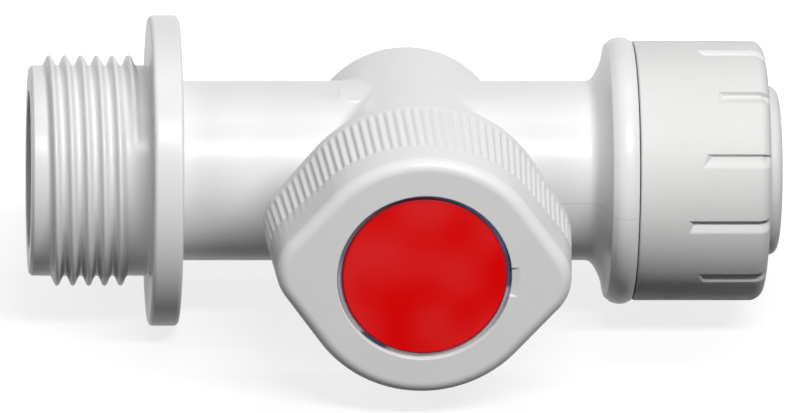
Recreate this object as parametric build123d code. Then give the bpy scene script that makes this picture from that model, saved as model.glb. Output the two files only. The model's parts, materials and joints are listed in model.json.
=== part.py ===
from build123d import *
from math import acos, cos, radians, sin, tan
import os

# All sizes in mm. The tube runs along X with the push-fit end at +X, and the knob faces -Y. Z is up.
# Lengths along X are taken from the valve centre, where the tube and knob axes cross.
# Depths along the knob axis are positive towards the knob.

# Standard interfaces
PIPE_OD = 15.0
PIPE_CLEARANCE = 0.15
THREAD_OD = 26.44
THREAD_PITCH = 25.4 / 14
THREAD_DEPTH = 0.6403 * THREAD_PITCH
THREAD_HALF_ANGLE = 27.5
THREAD_CRESTS = 6

# Body outside
TUBE_R = 10.3
CHAMBER_R = 11.3
CHAMBER_FRONT = 13.2
CHAMBER_EDGE_R = 0.4
HOSE_END_X = -43.6
FIRST_CREST = 2.25
FLANGE_R = 17.8
FLANGE_THICK = 3.45
FLANGE_EDGE_R = 0.55
NECK_LENGTH = 1.6
SPIGOT_CHAMFER = 0.6
FLARE_X = 20.75
FLARE_MID_X = 21.75
FLARE_MID_R = 11.9
SHOULDER_X = 22.35
SHOULDER_R = 15.3
SHOULDER_WALL_R = 14.3
SHOULDER_CREST_X = 23.9
SEAM_X = 25.5

# Body inside
HOSE_BORE_R = 9.2
PORT_R = 4.2
SEAT_R = 6.9
SEAT_BACK_X = 9.0
SEAT_RING_SECTION = 1.0
PIPE_STOP_X = 14.0
SEAL_POCKET_X = 23.5
SEAL_POCKET_R = 10.2
SLEEVE_R = 12.4
SLEEVE_END_X = 31.5
SNAP_RISE = 0.4
SNAP_LENGTH = 1.6

# Push-fit end
CAP_R = 14.9
CAP_FRONT_X = 40.6
CAP_EDGE_R = 1.5
CAP_THROAT_LENGTH = 2.6
NOTCH_COUNT = 12
NOTCH_PHASE = -4.2
NOTCH_WIDTH = 1.5
NOTCH_FLOOR = 0.4
NOTCH_DEPTH = 0.5
NOTCH_LEAN = 0.35
NOTCH_LENGTH = 7.1
NOTCH_WAVE = 1.7
NOTCH_WAVES = 3
NOTCH_SHORTEST = 55.8
COLLET_PROUD = 1.7
COLLET_LIP_R = 9.7
COLLET_LIP_THICK = 1.6
COLLET_WALL = 1.05
COLLET_HEAD_R = 9.9
COLLET_FINGERS = 6
COLLET_SLIT = 1.2
COLLET_TRAVEL = 1.3
MOVING_GAP = 0.3
SEAL_SECTION = 1.35
SEAL_WASHER_THICK = 2.0
TOOTH_THICK = 0.5
TOOTH_ARC = 34.0

# Valve mechanism
PLUG_R = 7.6
PLUG_GAP = 0.15
SEAT_GAP = 0.06
PLUG_FRONT = 6.9
CHAMBER_FLOOR = -7.9
STEM_R = 4.5
STEM_GAP = 0.15
BONNET_BACK = 7.6
BONNET_R = 9.3
BONNET_PROUD = 1.0
BONNET_RING_SECTION = 0.6
STEM_RING_SECTION = 0.65
STEM_RING_INNER = 9.2
STEM_RING_STEP = 2.4
STOP_ANGLE = 16.0
STOP_AT = 180.0
STOP_SLACK = 0.6
STOP_DEPTH = 1.8
WASHER_SLACK = 0.05
QUARTER_TURN = 90.0
DRIVE_SQUARE = 6.2
DRIVE_END = 27.4

# Knob
KNOB_REST_TURN = 2.9
KNOB_BACK = 17.7
KNOB_FACE = 32.8
BACK_ROUND_R = 15.4
BACK_EAR_R = 5.74
BACK_HALF_LENGTH = 17.6
FACE_ROUND_R = 14.1
FACE_EAR_R = 5.4
FACE_HALF_LENGTH = 16.6
FACE_EDGE_R = 1.3
RIB_END = 28.9
RIB_END_DROP = 3.8
RIB_COUNT = 96
RIB_DEPTH = 0.35
RIB_SET_IN = 0.04
KNOB_WALL = 1.7
KNOB_FRONT_WALL = 1.6
HUB_R = 6.2
HUB_SETBACK = 0.6
WEB_THICK = 1.3
DISC_RECESS_R = 9.85
DISC_RECESS_DEPTH = 1.0
DISC_R = 9.35
DISC_THICK = 0.7
PRY_WIDTH = 3.2
PRY_REACH = 0.9
PRY_DEPTH = 0.3
SCREW_R = 1.6
SCREW_HEAD_R = 3.1
SCREW_HEAD_THICK = 1.8
SCREW_LENGTH = 9.0
SCREW_GAP = 0.2

# Derived sizes
THREAD_R = THREAD_OD / 2
ROOT_R = THREAD_R - THREAD_DEPTH
FLANK_RUN = THREAD_DEPTH * tan(radians(THREAD_HALF_ANGLE))
CREST_FLAT = (THREAD_PITCH - 2 * FLANK_RUN) / 2
LAST_CREST_X = HOSE_END_X + FIRST_CREST + (THREAD_CRESTS - 1) * THREAD_PITCH
FLANGE_X = LAST_CREST_X + CREST_FLAT / 2 + FLANK_RUN + NECK_LENGTH
SOCKET_R = PIPE_OD / 2 + PIPE_CLEARANCE
PIPE_R = PIPE_OD / 2
CHAMBER_BORE_R = PLUG_R + PLUG_GAP
COLLET_OUT_R = SOCKET_R + COLLET_WALL
COLLET_END_X = CAP_FRONT_X + COLLET_PROUD
LIP_BACK_X = COLLET_END_X - COLLET_LIP_THICK
MOUTH_FLOOR_X = LIP_BACK_X - COLLET_TRAVEL - MOVING_GAP
THROAT_R = COLLET_OUT_R + MOVING_GAP
THROAT_X = MOUTH_FLOOR_X - CAP_THROAT_LENGTH
COLLET_HEAD_X = SLEEVE_END_X + MOVING_GAP
RECESS_FLOOR = KNOB_FACE - DISC_RECESS_DEPTH


def rod_x(radius, x0, x1):
    """A round bar along X between two places."""
    bar = Cylinder(radius, x1 - x0, align=(Align.CENTER, Align.CENTER, Align.MIN))
    return Pos(x0, 0, 0) * Rot(0, 90, 0) * bar


def rod_knob(radius, depth0, depth1):
    """A round bar along the knob axis between two depths."""
    bar = Cylinder(radius, depth1 - depth0, align=(Align.CENTER, Align.CENTER, Align.MIN))
    return Pos(0, -depth0, 0) * Rot(90, 0, 0) * bar


def ring_x(outer, inner, x0, x1):
    """A plain ring round the tube axis."""
    return rod_x(outer, x0, x1) - rod_x(inner, x0 - 1, x1 + 1)


def ring_knob(outer, inner, depth0, depth1):
    """A plain ring round the knob axis."""
    return rod_knob(outer, depth0, depth1) - rod_knob(inner, depth0 - 1, depth1 + 1)


def o_ring_x(x, inside, section):
    """A round-section seal round the tube axis, section being its radius."""
    return Pos(x, 0, 0) * Rot(0, 90, 0) * Torus(inside + section, section)


def o_ring_knob(depth, inside, section):
    """A round-section seal round the knob axis, section being its radius."""
    return Pos(0, -depth, 0) * Rot(90, 0, 0) * Torus(inside + section, section)


def spun_x(points):
    """Revolve a closed outline of (x, radius) points about the tube axis."""
    return revolve(make_face(Polyline(*points, close=True)), axis=Axis.X)


def sector_knob(outer, inner, depth0, depth1, start, sweep):
    """Part of a ring round the knob axis, angles running clockwise from +X as the knob is faced."""
    tall = depth1 - depth0
    piece = Cylinder(outer, tall, arc_size=sweep, align=(Align.NONE, Align.NONE, Align.MIN))
    piece -= Cylinder(inner, 3 * tall)
    return Pos(0, -depth0, 0) * Rot(90, 0, 0) * Rot(0, 0, -start - sweep) * piece


def lemon(outline, inset=0):
    """Outline of a round knob drawn out to a rounded ear at each end of its long axis."""
    round_r = outline[0] - inset
    ear_r = outline[1] - inset
    half_length = outline[2] - inset
    ear_x = half_length - ear_r
    lean = acos((round_r - ear_r) / ear_x)
    big = Vector(round_r * cos(lean), round_r * sin(lean))
    ear = Vector(ear_x + ear_r * cos(lean), ear_r * sin(lean))
    right = ThreePointArc((ear.X, -ear.Y), (half_length, 0), (ear.X, ear.Y))
    upper_right = Line((ear.X, ear.Y), (big.X, big.Y))
    top = ThreePointArc((big.X, big.Y), (0, round_r), (-big.X, big.Y))
    upper_left = Line((-big.X, big.Y), (-ear.X, ear.Y))
    left = ThreePointArc((-ear.X, ear.Y), (-half_length, 0), (-ear.X, -ear.Y))
    lower_left = Line((-ear.X, -ear.Y), (-big.X, -big.Y))
    bottom = ThreePointArc((-big.X, -big.Y), (0, -round_r), (big.X, -big.Y))
    lower_right = Line((big.X, -big.Y), (ear.X, -ear.Y))
    return Wire([right, upper_right, top, upper_left, left, lower_left, bottom, lower_right])


def ribbed(crest, root):
    """A closed outline that steps between two outlines once for each rib."""
    points = []
    for rib in range(RIB_COUNT):
        points.append(crest @ ((rib + 0.08) / RIB_COUNT))
        points.append(crest @ ((rib + 0.42) / RIB_COUNT))
        points.append(root @ ((rib + 0.60) / RIB_COUNT))
        points.append(root @ ((rib + 0.90) / RIB_COUNT))
    return Wire.make_polygon(points, close=True)


def at_depth(outline, depth):
    """Stand an outline drawn in plan at its depth along the knob axis."""
    return Pos(0, -depth, 0) * Rot(90, 0, 0) * outline


def between(first, depth0, last, depth1):
    """A straight-sided solid from one outline to another along the knob axis."""
    return Part() + Solid.make_loft([at_depth(first, depth0), at_depth(last, depth1)], True)


def make_body():
    """The one-piece moulding: threaded spigot, flange, tube, chamber, shoulder and pipe socket."""
    spigot = [(HOSE_END_X, 0), (HOSE_END_X, ROOT_R - SPIGOT_CHAMFER)]
    spigot.append((HOSE_END_X + SPIGOT_CHAMFER, ROOT_R))
    for crest in range(THREAD_CRESTS):
        middle = HOSE_END_X + FIRST_CREST + crest * THREAD_PITCH
        spigot.append((middle - CREST_FLAT / 2 - FLANK_RUN, ROOT_R))
        spigot.append((middle - CREST_FLAT / 2, THREAD_R))
        spigot.append((middle + CREST_FLAT / 2, THREAD_R))
        spigot.append((middle + CREST_FLAT / 2 + FLANK_RUN, ROOT_R))
    spigot.append((FLANGE_X, ROOT_R))
    spigot.append((FLANGE_X, 0))
    flange = rod_x(FLANGE_R, FLANGE_X, FLANGE_X + FLANGE_THICK)
    flange = fillet(flange.edges().filter_by(GeomType.CIRCLE), FLANGE_EDGE_R)
    chamber = rod_knob(CHAMBER_R, -TUBE_R, CHAMBER_FRONT)
    chamber = fillet(chamber.edges().group_by(Axis.Y)[-1], CHAMBER_EDGE_R)
    body = spun_x(spigot) + flange + make_shoulder() + chamber
    body += rod_x(SLEEVE_R, SEAM_X - 0.5, SLEEVE_END_X)
    body += snap_bead()
    # waterways, from the hose mouth to the pipe socket
    hose_floor = FLANGE_X + FLANGE_THICK
    step = HOSE_BORE_R - SEAT_R
    hose_bore = [(HOSE_END_X - 1, 0), (HOSE_END_X - 1, HOSE_BORE_R), (hose_floor, HOSE_BORE_R)]
    hose_bore += [(hose_floor + step, SEAT_R), (0, SEAT_R), (0, 0)]
    body -= spun_x(hose_bore)
    body -= rod_x(SEAT_R, 0, PIPE_STOP_X + 1)
    body -= rod_x(SOCKET_R, PIPE_STOP_X, SLEEVE_END_X + 1)
    body -= rod_x(SEAL_POCKET_R, SEAL_POCKET_X, SLEEVE_END_X + 1)
    body -= rod_knob(CHAMBER_BORE_R, CHAMBER_FLOOR, CHAMBER_FRONT + 1)
    body -= rod_knob(BONNET_R, BONNET_BACK, CHAMBER_FRONT + 1)
    body -= bonnet_bead()
    return body


def make_shoulder():
    """Tube and the shoulder at its end, flared hollow from the tube and crowned outside down to the seam."""
    tube_from = FLANGE_X + FLANGE_THICK / 2
    flare_from = (FLARE_X, TUBE_R)
    crown_from = (SHOULDER_X, SHOULDER_WALL_R)
    crown_to = (SEAM_X, CAP_R)
    tube = Polyline((SEAM_X, 0), (tube_from, 0), (tube_from, TUBE_R), flare_from)
    flare = ThreePointArc(flare_from, (FLARE_MID_X, FLARE_MID_R), crown_from)
    crown = ThreePointArc(crown_from, (SHOULDER_CREST_X, SHOULDER_R), crown_to)
    seam = Line(crown_to, (SEAM_X, 0))
    return revolve(make_face([*tube.edges(), flare, crown, seam]), axis=Axis.X)


def snap_bead():
    """Ramped bead round the sleeve that the end cap snaps over, and the groove that it leaves in the cap."""
    start = SEAM_X + SNAP_LENGTH
    ramp = [(start, SLEEVE_R - 1), (start, SLEEVE_R + SNAP_RISE)]
    ramp += [(start + SNAP_LENGTH, SLEEVE_R), (start + SNAP_LENGTH, SLEEVE_R - 1)]
    return spun_x(ramp)


def bonnet_bead():
    """Bead near the bonnet's front that snaps into the chamber mouth."""
    return rod_knob(BONNET_R + SNAP_RISE / 2, CHAMBER_FRONT - SNAP_LENGTH, CHAMBER_FRONT - SNAP_LENGTH / 2)


def make_end_cap():
    """Cap of the push-fit end, with a wave of notches round its mouth and the collet's cone inside."""
    cap = rod_x(CAP_R, SEAM_X, CAP_FRONT_X)
    cap = fillet(cap.edges().filter_by(GeomType.CIRCLE).sort_by(Axis.X)[-1], CAP_EDGE_R)
    hollow = [(SEAM_X - 1, 0), (SEAM_X - 1, SLEEVE_R), (SLEEVE_END_X, SLEEVE_R)]
    hollow += [(SLEEVE_END_X, COLLET_HEAD_R + 2 * MOVING_GAP), (THROAT_X, THROAT_R)]
    hollow += [(MOUTH_FLOOR_X, THROAT_R), (MOUTH_FLOOR_X, COLLET_LIP_R + MOVING_GAP)]
    hollow += [(CAP_FRONT_X + 1, COLLET_LIP_R + MOVING_GAP), (CAP_FRONT_X + 1, 0)]
    cap -= spun_x(hollow)
    cap -= snap_bead()
    notches = Part()
    for place in range(NOTCH_COUNT):
        turn = NOTCH_PHASE + place * 360 / NOTCH_COUNT
        wave = cos(radians(NOTCH_WAVES * (turn - NOTCH_SHORTEST)))
        notches += Rot(-turn, 0, 0) * notch(NOTCH_LENGTH - NOTCH_WAVE * wave)
    return cap - notches


def notch(length):
    """One notch cutter at the front of the cap, its upper wall steep and its lower wall a broad ramp."""
    lip = CAP_R + NOTCH_DEPTH
    mouth = NOTCH_WIDTH + (NOTCH_WIDTH - NOTCH_FLOOR)
    slope = (mouth - NOTCH_FLOOR) / 2
    start = CAP_FRONT_X - length
    outer = Plane((start - slope, -lip, 0), x_dir=(1, 0, 0), z_dir=(0, 1, 0))
    reach = length + slope + 1
    top = outer * Pos(reach / 2, NOTCH_LEAN) * Rectangle(reach, mouth)
    inner = outer.offset(2 * NOTCH_DEPTH)
    floor = inner * Pos(slope + (reach - slope) / 2, -NOTCH_LEAN) * Rectangle(reach - slope, NOTCH_FLOOR)
    return loft([top, floor], ruled=True)


def make_collet():
    """Release collet: lip, neck and fingers whose heads lie in the cap's cone, slit from the inside end."""
    profile = [(COLLET_HEAD_X, SOCKET_R), (COLLET_HEAD_X, COLLET_HEAD_R)]
    profile += [(COLLET_HEAD_X + COLLET_TRAVEL, COLLET_HEAD_R), (THROAT_X - MOVING_GAP, COLLET_OUT_R)]
    profile += [(LIP_BACK_X, COLLET_OUT_R), (LIP_BACK_X, COLLET_LIP_R)]
    profile += [(COLLET_END_X, COLLET_LIP_R), (COLLET_END_X, SOCKET_R)]
    collet = spun_x(profile)
    rim = collet.edges().filter_by(GeomType.CIRCLE).group_by(Axis.X)[-1].sort_by(SortBy.RADIUS)[-1]
    collet = fillet(rim, COLLET_LIP_THICK * 0.7)
    slit_end = THROAT_X + CAP_THROAT_LENGTH / 2
    slit_length = slit_end - COLLET_HEAD_X + 1
    for finger in range(COLLET_FINGERS):
        slit = Pos(COLLET_HEAD_X - 1 + slit_length / 2, 0, COLLET_HEAD_R)
        slit *= Box(slit_length, COLLET_SLIT, COLLET_HEAD_R * 2 - SOCKET_R)
        collet -= Rot(finger * 360 / COLLET_FINGERS, 0, 0) * slit
    return collet - make_teeth()


def make_teeth():
    """Steel teeth set in the fingers, one blade in each, with its edge on the pipe."""
    edge_x = COLLET_HEAD_X + COLLET_TRAVEL
    lean = (COLLET_HEAD_R - SOCKET_R) / 2
    blade = [(edge_x, PIPE_R), (edge_x + lean, PIPE_R + lean)]
    blade += [(edge_x + lean + TOOTH_THICK, PIPE_R + lean), (edge_x + TOOTH_THICK, PIPE_R)]
    cone = make_face(Polyline(*blade, close=True))
    tooth = revolve(Rot(90, 0, 0) * cone, axis=Axis.X, revolution_arc=TOOTH_ARC)
    teeth = []
    for finger in range(COLLET_FINGERS):
        turn = (finger + 0.5) * 360 / COLLET_FINGERS - TOOTH_ARC / 2
        teeth.append(Rot(turn, 0, 0) * tooth)
    return Compound(teeth)


def make_seat(side):
    """Seat ring hollowed to the plug, on the +X side or the -X side."""
    seat = ring_x(SEAT_R, PORT_R, 0, SEAT_BACK_X)
    seat -= rod_knob(PLUG_R + SEAT_GAP, CHAMBER_FLOOR - 1, CHAMBER_FRONT)
    return Rot(0, 0, 0 if side > 0 else 180) * seat


def make_seat_o_ring(side):
    """Rubber ring between a seat and its retainer."""
    middle = side * (SEAT_BACK_X + SEAT_RING_SECTION)
    return o_ring_x(middle, SEAT_R - 2 * SEAT_RING_SECTION, SEAT_RING_SECTION)


def make_retainer(side):
    """Ring pressed in behind a seat. The +X one ends flush with the pipe stop."""
    near = SEAT_BACK_X + 2 * SEAT_RING_SECTION
    ring = ring_x(SEAT_R, PORT_R, near, PIPE_STOP_X)
    return Rot(0, 0, 0 if side > 0 else 180) * ring


def make_plug():
    """Plug with cross bore, stem, stem grooves, square drive, screw hole and stop notch."""
    plug = rod_knob(PLUG_R, CHAMBER_FLOOR + MOVING_GAP, PLUG_FRONT)
    plug += rod_knob(STEM_R, 0, CHAMBER_FRONT + 2 * BONNET_PROUD)
    drive_length = DRIVE_END - CHAMBER_FRONT
    drive = Box(DRIVE_SQUARE, drive_length, DRIVE_SQUARE)
    plug += Pos(0, -CHAMBER_FRONT - drive_length / 2, 0) * drive
    plug -= rod_x(PORT_R, -2 * PLUG_R, 2 * PLUG_R)
    groove_r = STEM_R + STEM_GAP - 2 * STEM_RING_SECTION - SEAT_GAP
    for place in (STEM_RING_INNER, STEM_RING_INNER + STEM_RING_STEP):
        half = STEM_RING_SECTION * 1.25
        plug -= ring_knob(STEM_R + 1, groove_r, place - half, place + half)
    stop_from = STOP_AT - QUARTER_TURN - STOP_ANGLE / 2 - STOP_SLACK
    stop_sweep = QUARTER_TURN + STOP_ANGLE + 2 * STOP_SLACK
    stop_in = stop_inner_r() - MOVING_GAP
    stop_floor = PLUG_FRONT - STOP_DEPTH - MOVING_GAP
    plug -= sector_knob(PLUG_R + 1, stop_in, stop_floor, PLUG_FRONT + 1, stop_from, stop_sweep)
    plug -= rod_knob(SCREW_R, KNOB_FACE - SCREW_LENGTH - KNOB_FRONT_WALL, DRIVE_END + 1)
    return plug


def stop_inner_r():
    """Inside radius of the bonnet's stop lug, outside the thrust washer."""
    return (STEM_R + PLUG_R) / 2 + MOVING_GAP


def make_thrust_washer():
    """Thin ring that takes the plug's push on the bonnet."""
    return ring_knob(stop_inner_r() - 2 * MOVING_GAP, STEM_R, PLUG_FRONT, BONNET_BACK - WASHER_SLACK)


def make_bonnet():
    """Snap-in ring that closes the chamber, with the seal groove outside and the stop lug behind."""
    bonnet = rod_knob(BONNET_R, BONNET_BACK, CHAMBER_FRONT) + bonnet_bead()
    bonnet += rod_knob((BONNET_R + STEM_R) / 2, CHAMBER_FRONT - 1, CHAMBER_FRONT + BONNET_PROUD)
    lug_back = PLUG_FRONT - STOP_DEPTH
    lug_from = STOP_AT - STOP_ANGLE / 2
    bonnet += sector_knob(PLUG_R - MOVING_GAP, stop_inner_r(), lug_back, BONNET_BACK, lug_from, STOP_ANGLE)
    bonnet -= rod_knob(STEM_R + STEM_GAP, BONNET_BACK - 1, CHAMBER_FRONT + BONNET_PROUD + 1)
    groove_mid = bonnet_ring_depth()
    half = BONNET_RING_SECTION * 1.25
    groove_r = BONNET_R - 2 * BONNET_RING_SECTION
    bonnet -= ring_knob(BONNET_R + 1, groove_r, groove_mid - half, groove_mid + half)
    return bonnet


def bonnet_ring_depth():
    """Place of the bonnet's seal along the knob axis."""
    return BONNET_BACK + (CHAMBER_FRONT - SNAP_LENGTH - BONNET_BACK) / 2


def make_knob():
    """Hollow tapered knob with an ear at each end, ribbed behind an arched line, recessed in its face."""
    back = (BACK_ROUND_R, BACK_EAR_R, BACK_HALF_LENGTH)
    face = (FACE_ROUND_R, FACE_EAR_R, FACE_HALF_LENGTH)
    smooth = between(lemon(back), KNOB_BACK, lemon(face), KNOB_FACE)
    smooth = fillet(smooth.faces().sort_by(Axis.Y)[0].edges(), FACE_EDGE_R)
    root_inset = RIB_SET_IN + RIB_DEPTH
    back_ribs = ribbed(lemon(back, RIB_SET_IN), lemon(back, root_inset))
    face_ribs = ribbed(lemon(face, RIB_SET_IN), lemon(face, root_inset))
    ribs = between(back_ribs, KNOB_BACK, face_ribs, KNOB_FACE)
    # the ribs stop at an arch, further from the face at the ears than in the middle
    arch_r = (BACK_HALF_LENGTH ** 2 + RIB_END_DROP ** 2) / (2 * RIB_END_DROP)
    arch = Pos(0, arch_r - RIB_END, 0) * Cylinder(arch_r, 4 * BACK_ROUND_R)
    knob = (smooth - arch) + (ribs & arch)
    inset = root_inset + KNOB_WALL
    hollow_end = RECESS_FLOOR - KNOB_FRONT_WALL
    cavity = between(lemon(back, inset), KNOB_BACK, lemon(face, inset), hollow_end)
    web_from = KNOB_BACK + 2 * HUB_SETBACK
    web = Box(2 * BACK_HALF_LENGTH, hollow_end - web_from, WEB_THICK)
    web = Pos(0, -(web_from + hollow_end) / 2, 0) * web
    keep = rod_knob(HUB_R, KNOB_BACK + HUB_SETBACK, hollow_end) + web + Rot(0, 90, 0) * web
    knob -= cavity - keep
    socket_end = DRIVE_END + SCREW_GAP
    socket_depth = socket_end - KNOB_BACK
    socket = Box(DRIVE_SQUARE, socket_depth, DRIVE_SQUARE)
    knob -= Pos(0, -KNOB_BACK - socket_depth / 2, 0) * socket
    knob -= rod_knob(DISC_RECESS_R, RECESS_FLOOR, KNOB_FACE + 1)
    knob -= rod_knob(SCREW_HEAD_R + SCREW_GAP, RECESS_FLOOR - SCREW_HEAD_THICK, KNOB_FACE)
    knob -= rod_knob(SCREW_R + SCREW_GAP, KNOB_BACK, KNOB_FACE)
    pry = Box(2 * PRY_REACH, 2 * PRY_DEPTH, PRY_WIDTH)
    knob -= Pos(DISC_RECESS_R, -KNOB_FACE, 0) * pry
    return knob


def make_screw():
    """Pan-head screw that draws the knob on to the stem, its thread left plain."""
    under_head = RECESS_FLOOR - SCREW_HEAD_THICK
    head = rod_knob(SCREW_HEAD_R, under_head, RECESS_FLOOR)
    head = fillet(head.edges().filter_by(GeomType.CIRCLE).sort_by(Axis.Y)[0], SCREW_HEAD_THICK / 2)
    screw = head + rod_knob(SCREW_R, KNOB_FACE - SCREW_LENGTH - KNOB_FRONT_WALL, under_head + 0.5)
    slot = SCREW_HEAD_R / 4
    cross = Box(SCREW_HEAD_R, SCREW_HEAD_THICK, slot) + Box(slot, SCREW_HEAD_THICK, SCREW_HEAD_R)
    return screw - Pos(0, -RECESS_FLOOR, 0) * cross


def make_disc():
    """Red disc pressed into the knob's recess, its front edge softened."""
    disc = rod_knob(DISC_R, RECESS_FLOOR, RECESS_FLOOR + DISC_THICK)
    return fillet(disc.edges().filter_by(GeomType.CIRCLE).sort_by(Axis.Y)[0], DISC_THICK / 3)


turn = Rot(0, KNOB_REST_TURN, 0)
washer_x = SEAL_POCKET_X + 2 * SEAL_SECTION
stem_seal_inside = STEM_R + STEM_GAP - 2 * STEM_RING_SECTION - SEAT_GAP / 2
stem_outer_depth = STEM_RING_INNER + STEM_RING_STEP
bonnet_seal_inside = BONNET_R - 2 * BONNET_RING_SECTION
nodes = {
    "valve_body": make_body(),
    "end_cap": make_end_cap(),
    "collet": make_collet(),
    "collet_teeth": make_teeth(),
    "pipe_o_ring": o_ring_x(SEAL_POCKET_X + SEAL_SECTION, PIPE_R, SEAL_SECTION),
    "pipe_seal_washer": ring_x(SEAL_POCKET_R, SOCKET_R, washer_x, washer_x + SEAL_WASHER_THICK),
    "inlet_seat": make_seat(-1),
    "outlet_seat": make_seat(1),
    "inlet_seat_o_ring": make_seat_o_ring(-1),
    "outlet_seat_o_ring": make_seat_o_ring(1),
    "inlet_seat_retainer": make_retainer(-1),
    "outlet_seat_retainer": make_retainer(1),
    "plug": turn * make_plug(),
    "thrust_washer": turn * make_thrust_washer(),
    "stem_o_ring_inner": turn * o_ring_knob(STEM_RING_INNER, stem_seal_inside, STEM_RING_SECTION),
    "stem_o_ring_outer": turn * o_ring_knob(stem_outer_depth, stem_seal_inside, STEM_RING_SECTION),
    "bonnet": make_bonnet(),
    "bonnet_o_ring": o_ring_knob(bonnet_ring_depth(), bonnet_seal_inside, BONNET_RING_SECTION),
    "knob": turn * make_knob(),
    "knob_screw": turn * make_screw(),
    "indicator_disc": turn * make_disc(),
}
os.makedirs("parts", exist_ok=True)
for name, shape in nodes.items():
    export_step(Pos(-PIPE_STOP_X, 0, 0) * shape, f"parts/{name}.step")
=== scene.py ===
"""Looks of a quarter-turn appliance valve with a hose thread, a push-fit end and a turn knob.

Lengths are in metres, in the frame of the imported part: X runs along the tube towards the push-fit
end, the knob faces -Y and Z is up. The valve centre is where the knob's axis meets the tube's axis.
"""

import json
import logging
import math
from dataclasses import dataclass
from enum import Enum

import bmesh
import bpy
import numpy as np
from mathutils import Matrix, Vector

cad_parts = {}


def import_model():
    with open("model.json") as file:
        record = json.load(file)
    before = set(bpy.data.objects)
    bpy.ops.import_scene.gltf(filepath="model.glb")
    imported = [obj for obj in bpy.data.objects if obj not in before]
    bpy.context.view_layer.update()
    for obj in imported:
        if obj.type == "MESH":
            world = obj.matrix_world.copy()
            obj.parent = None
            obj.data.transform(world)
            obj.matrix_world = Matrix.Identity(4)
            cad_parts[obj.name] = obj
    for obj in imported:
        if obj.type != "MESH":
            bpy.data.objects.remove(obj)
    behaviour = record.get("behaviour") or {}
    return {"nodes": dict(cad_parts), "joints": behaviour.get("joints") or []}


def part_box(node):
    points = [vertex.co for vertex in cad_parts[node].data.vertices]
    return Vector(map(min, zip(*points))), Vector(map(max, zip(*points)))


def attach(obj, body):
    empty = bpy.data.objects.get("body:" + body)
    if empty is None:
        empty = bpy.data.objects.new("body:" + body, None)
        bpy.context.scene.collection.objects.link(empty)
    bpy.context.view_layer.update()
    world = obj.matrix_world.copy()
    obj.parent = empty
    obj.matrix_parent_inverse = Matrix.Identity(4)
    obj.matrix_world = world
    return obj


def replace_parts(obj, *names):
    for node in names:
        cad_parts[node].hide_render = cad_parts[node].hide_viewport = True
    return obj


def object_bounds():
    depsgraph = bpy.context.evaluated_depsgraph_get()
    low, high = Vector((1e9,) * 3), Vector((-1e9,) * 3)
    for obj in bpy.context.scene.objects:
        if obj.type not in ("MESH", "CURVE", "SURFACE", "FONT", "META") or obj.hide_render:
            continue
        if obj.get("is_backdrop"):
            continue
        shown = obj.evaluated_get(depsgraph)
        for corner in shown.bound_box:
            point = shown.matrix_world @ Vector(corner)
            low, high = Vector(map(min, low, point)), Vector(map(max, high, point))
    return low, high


MM = 0.001
MICRON = 1e-6
LOG = logging.getLogger("appliance_valve")

Spot = tuple[float, float]
Place = tuple[float, float, float]
Colour = tuple[float, float, float, float]
Node = bpy.types.Node
Socket = bpy.types.NodeSocket

# Sizes that sub-assemblies share
TUBE_R = 10.3 * MM
WAY_R = 6.9 * MM
MIDDLE_HALF = 13.0 * MM
SLEEVE_R = 12.4 * MM
SEAM_R = 14.9 * MM


class Body(Enum):
    """The bodies of the part that pieces ride on."""

    VALVE = "valve"
    KNOB = "knob"
    COLLET = "collet"


# Surfaces worked out on grids


def soft_positive(value: np.ndarray, softness: float) -> np.ndarray:
    """Give value where it is positive and 0 elsewhere, with the corner rounded off.

    The formula is half of value plus the root of value squared plus softness squared.

    Args:
        value: Lengths of either sign.
        softness: Length over which the corner is rounded.

    Returns:
        An array of the same shape, nowhere negative.
    """
    return 0.5 * (value + np.sqrt(value * value + softness * softness))


def smooth_step(value: np.ndarray, low: float, high: float) -> np.ndarray:
    """Rise from 0 at low to 1 at high along a cubic that is flat at both ends.

    Args:
        value: Where to work it out.
        low: Place of the 0 end.
        high: Place of the 1 end.

    Returns:
        Values between 0 and 1.
    """
    share = np.clip((value - low) / (high - low), 0.0, 1.0)
    return share * share * (3.0 - 2.0 * share)


def arc(centre: Spot, radius: float, start: float, end: float, count: int) -> np.ndarray:
    """Lay points along a circular arc in a plane.

    Args:
        centre: Centre of the circle.
        radius: Radius of the circle.
        start: Angle of the first point in degrees.
        end: Angle of the last point in degrees.
        count: Number of points.

    Returns:
        Points of shape (count, 2).
    """
    angle = np.radians(np.linspace(start, end, count))
    return np.stack([centre[0] + radius * np.cos(angle), centre[1] + radius * np.sin(angle)], axis=1)


def arc_through(first: Spot, middle: Spot, last: Spot, count: int) -> np.ndarray:
    """Lay points along the circular arc through three points.

    The centre is where the perpendicular bisectors meet, found from two linear equations.

    Args:
        first: Start of the arc.
        middle: A point on it.
        last: End of the arc.
        count: Number of points.

    Returns:
        Points of shape (count, 2).
    """
    a, b, c = (np.array(point) for point in (first, middle, last))
    sides = 2.0 * np.stack([b - a, c - a])
    centre = np.linalg.solve(sides, np.array([b @ b - a @ a, c @ c - a @ a]))
    angles = [math.degrees(math.atan2(*(point - centre)[::-1])) for point in (a, c)]
    return arc(tuple(centre), float(np.linalg.norm(a - centre)), angles[0], angles[1], count)


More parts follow.
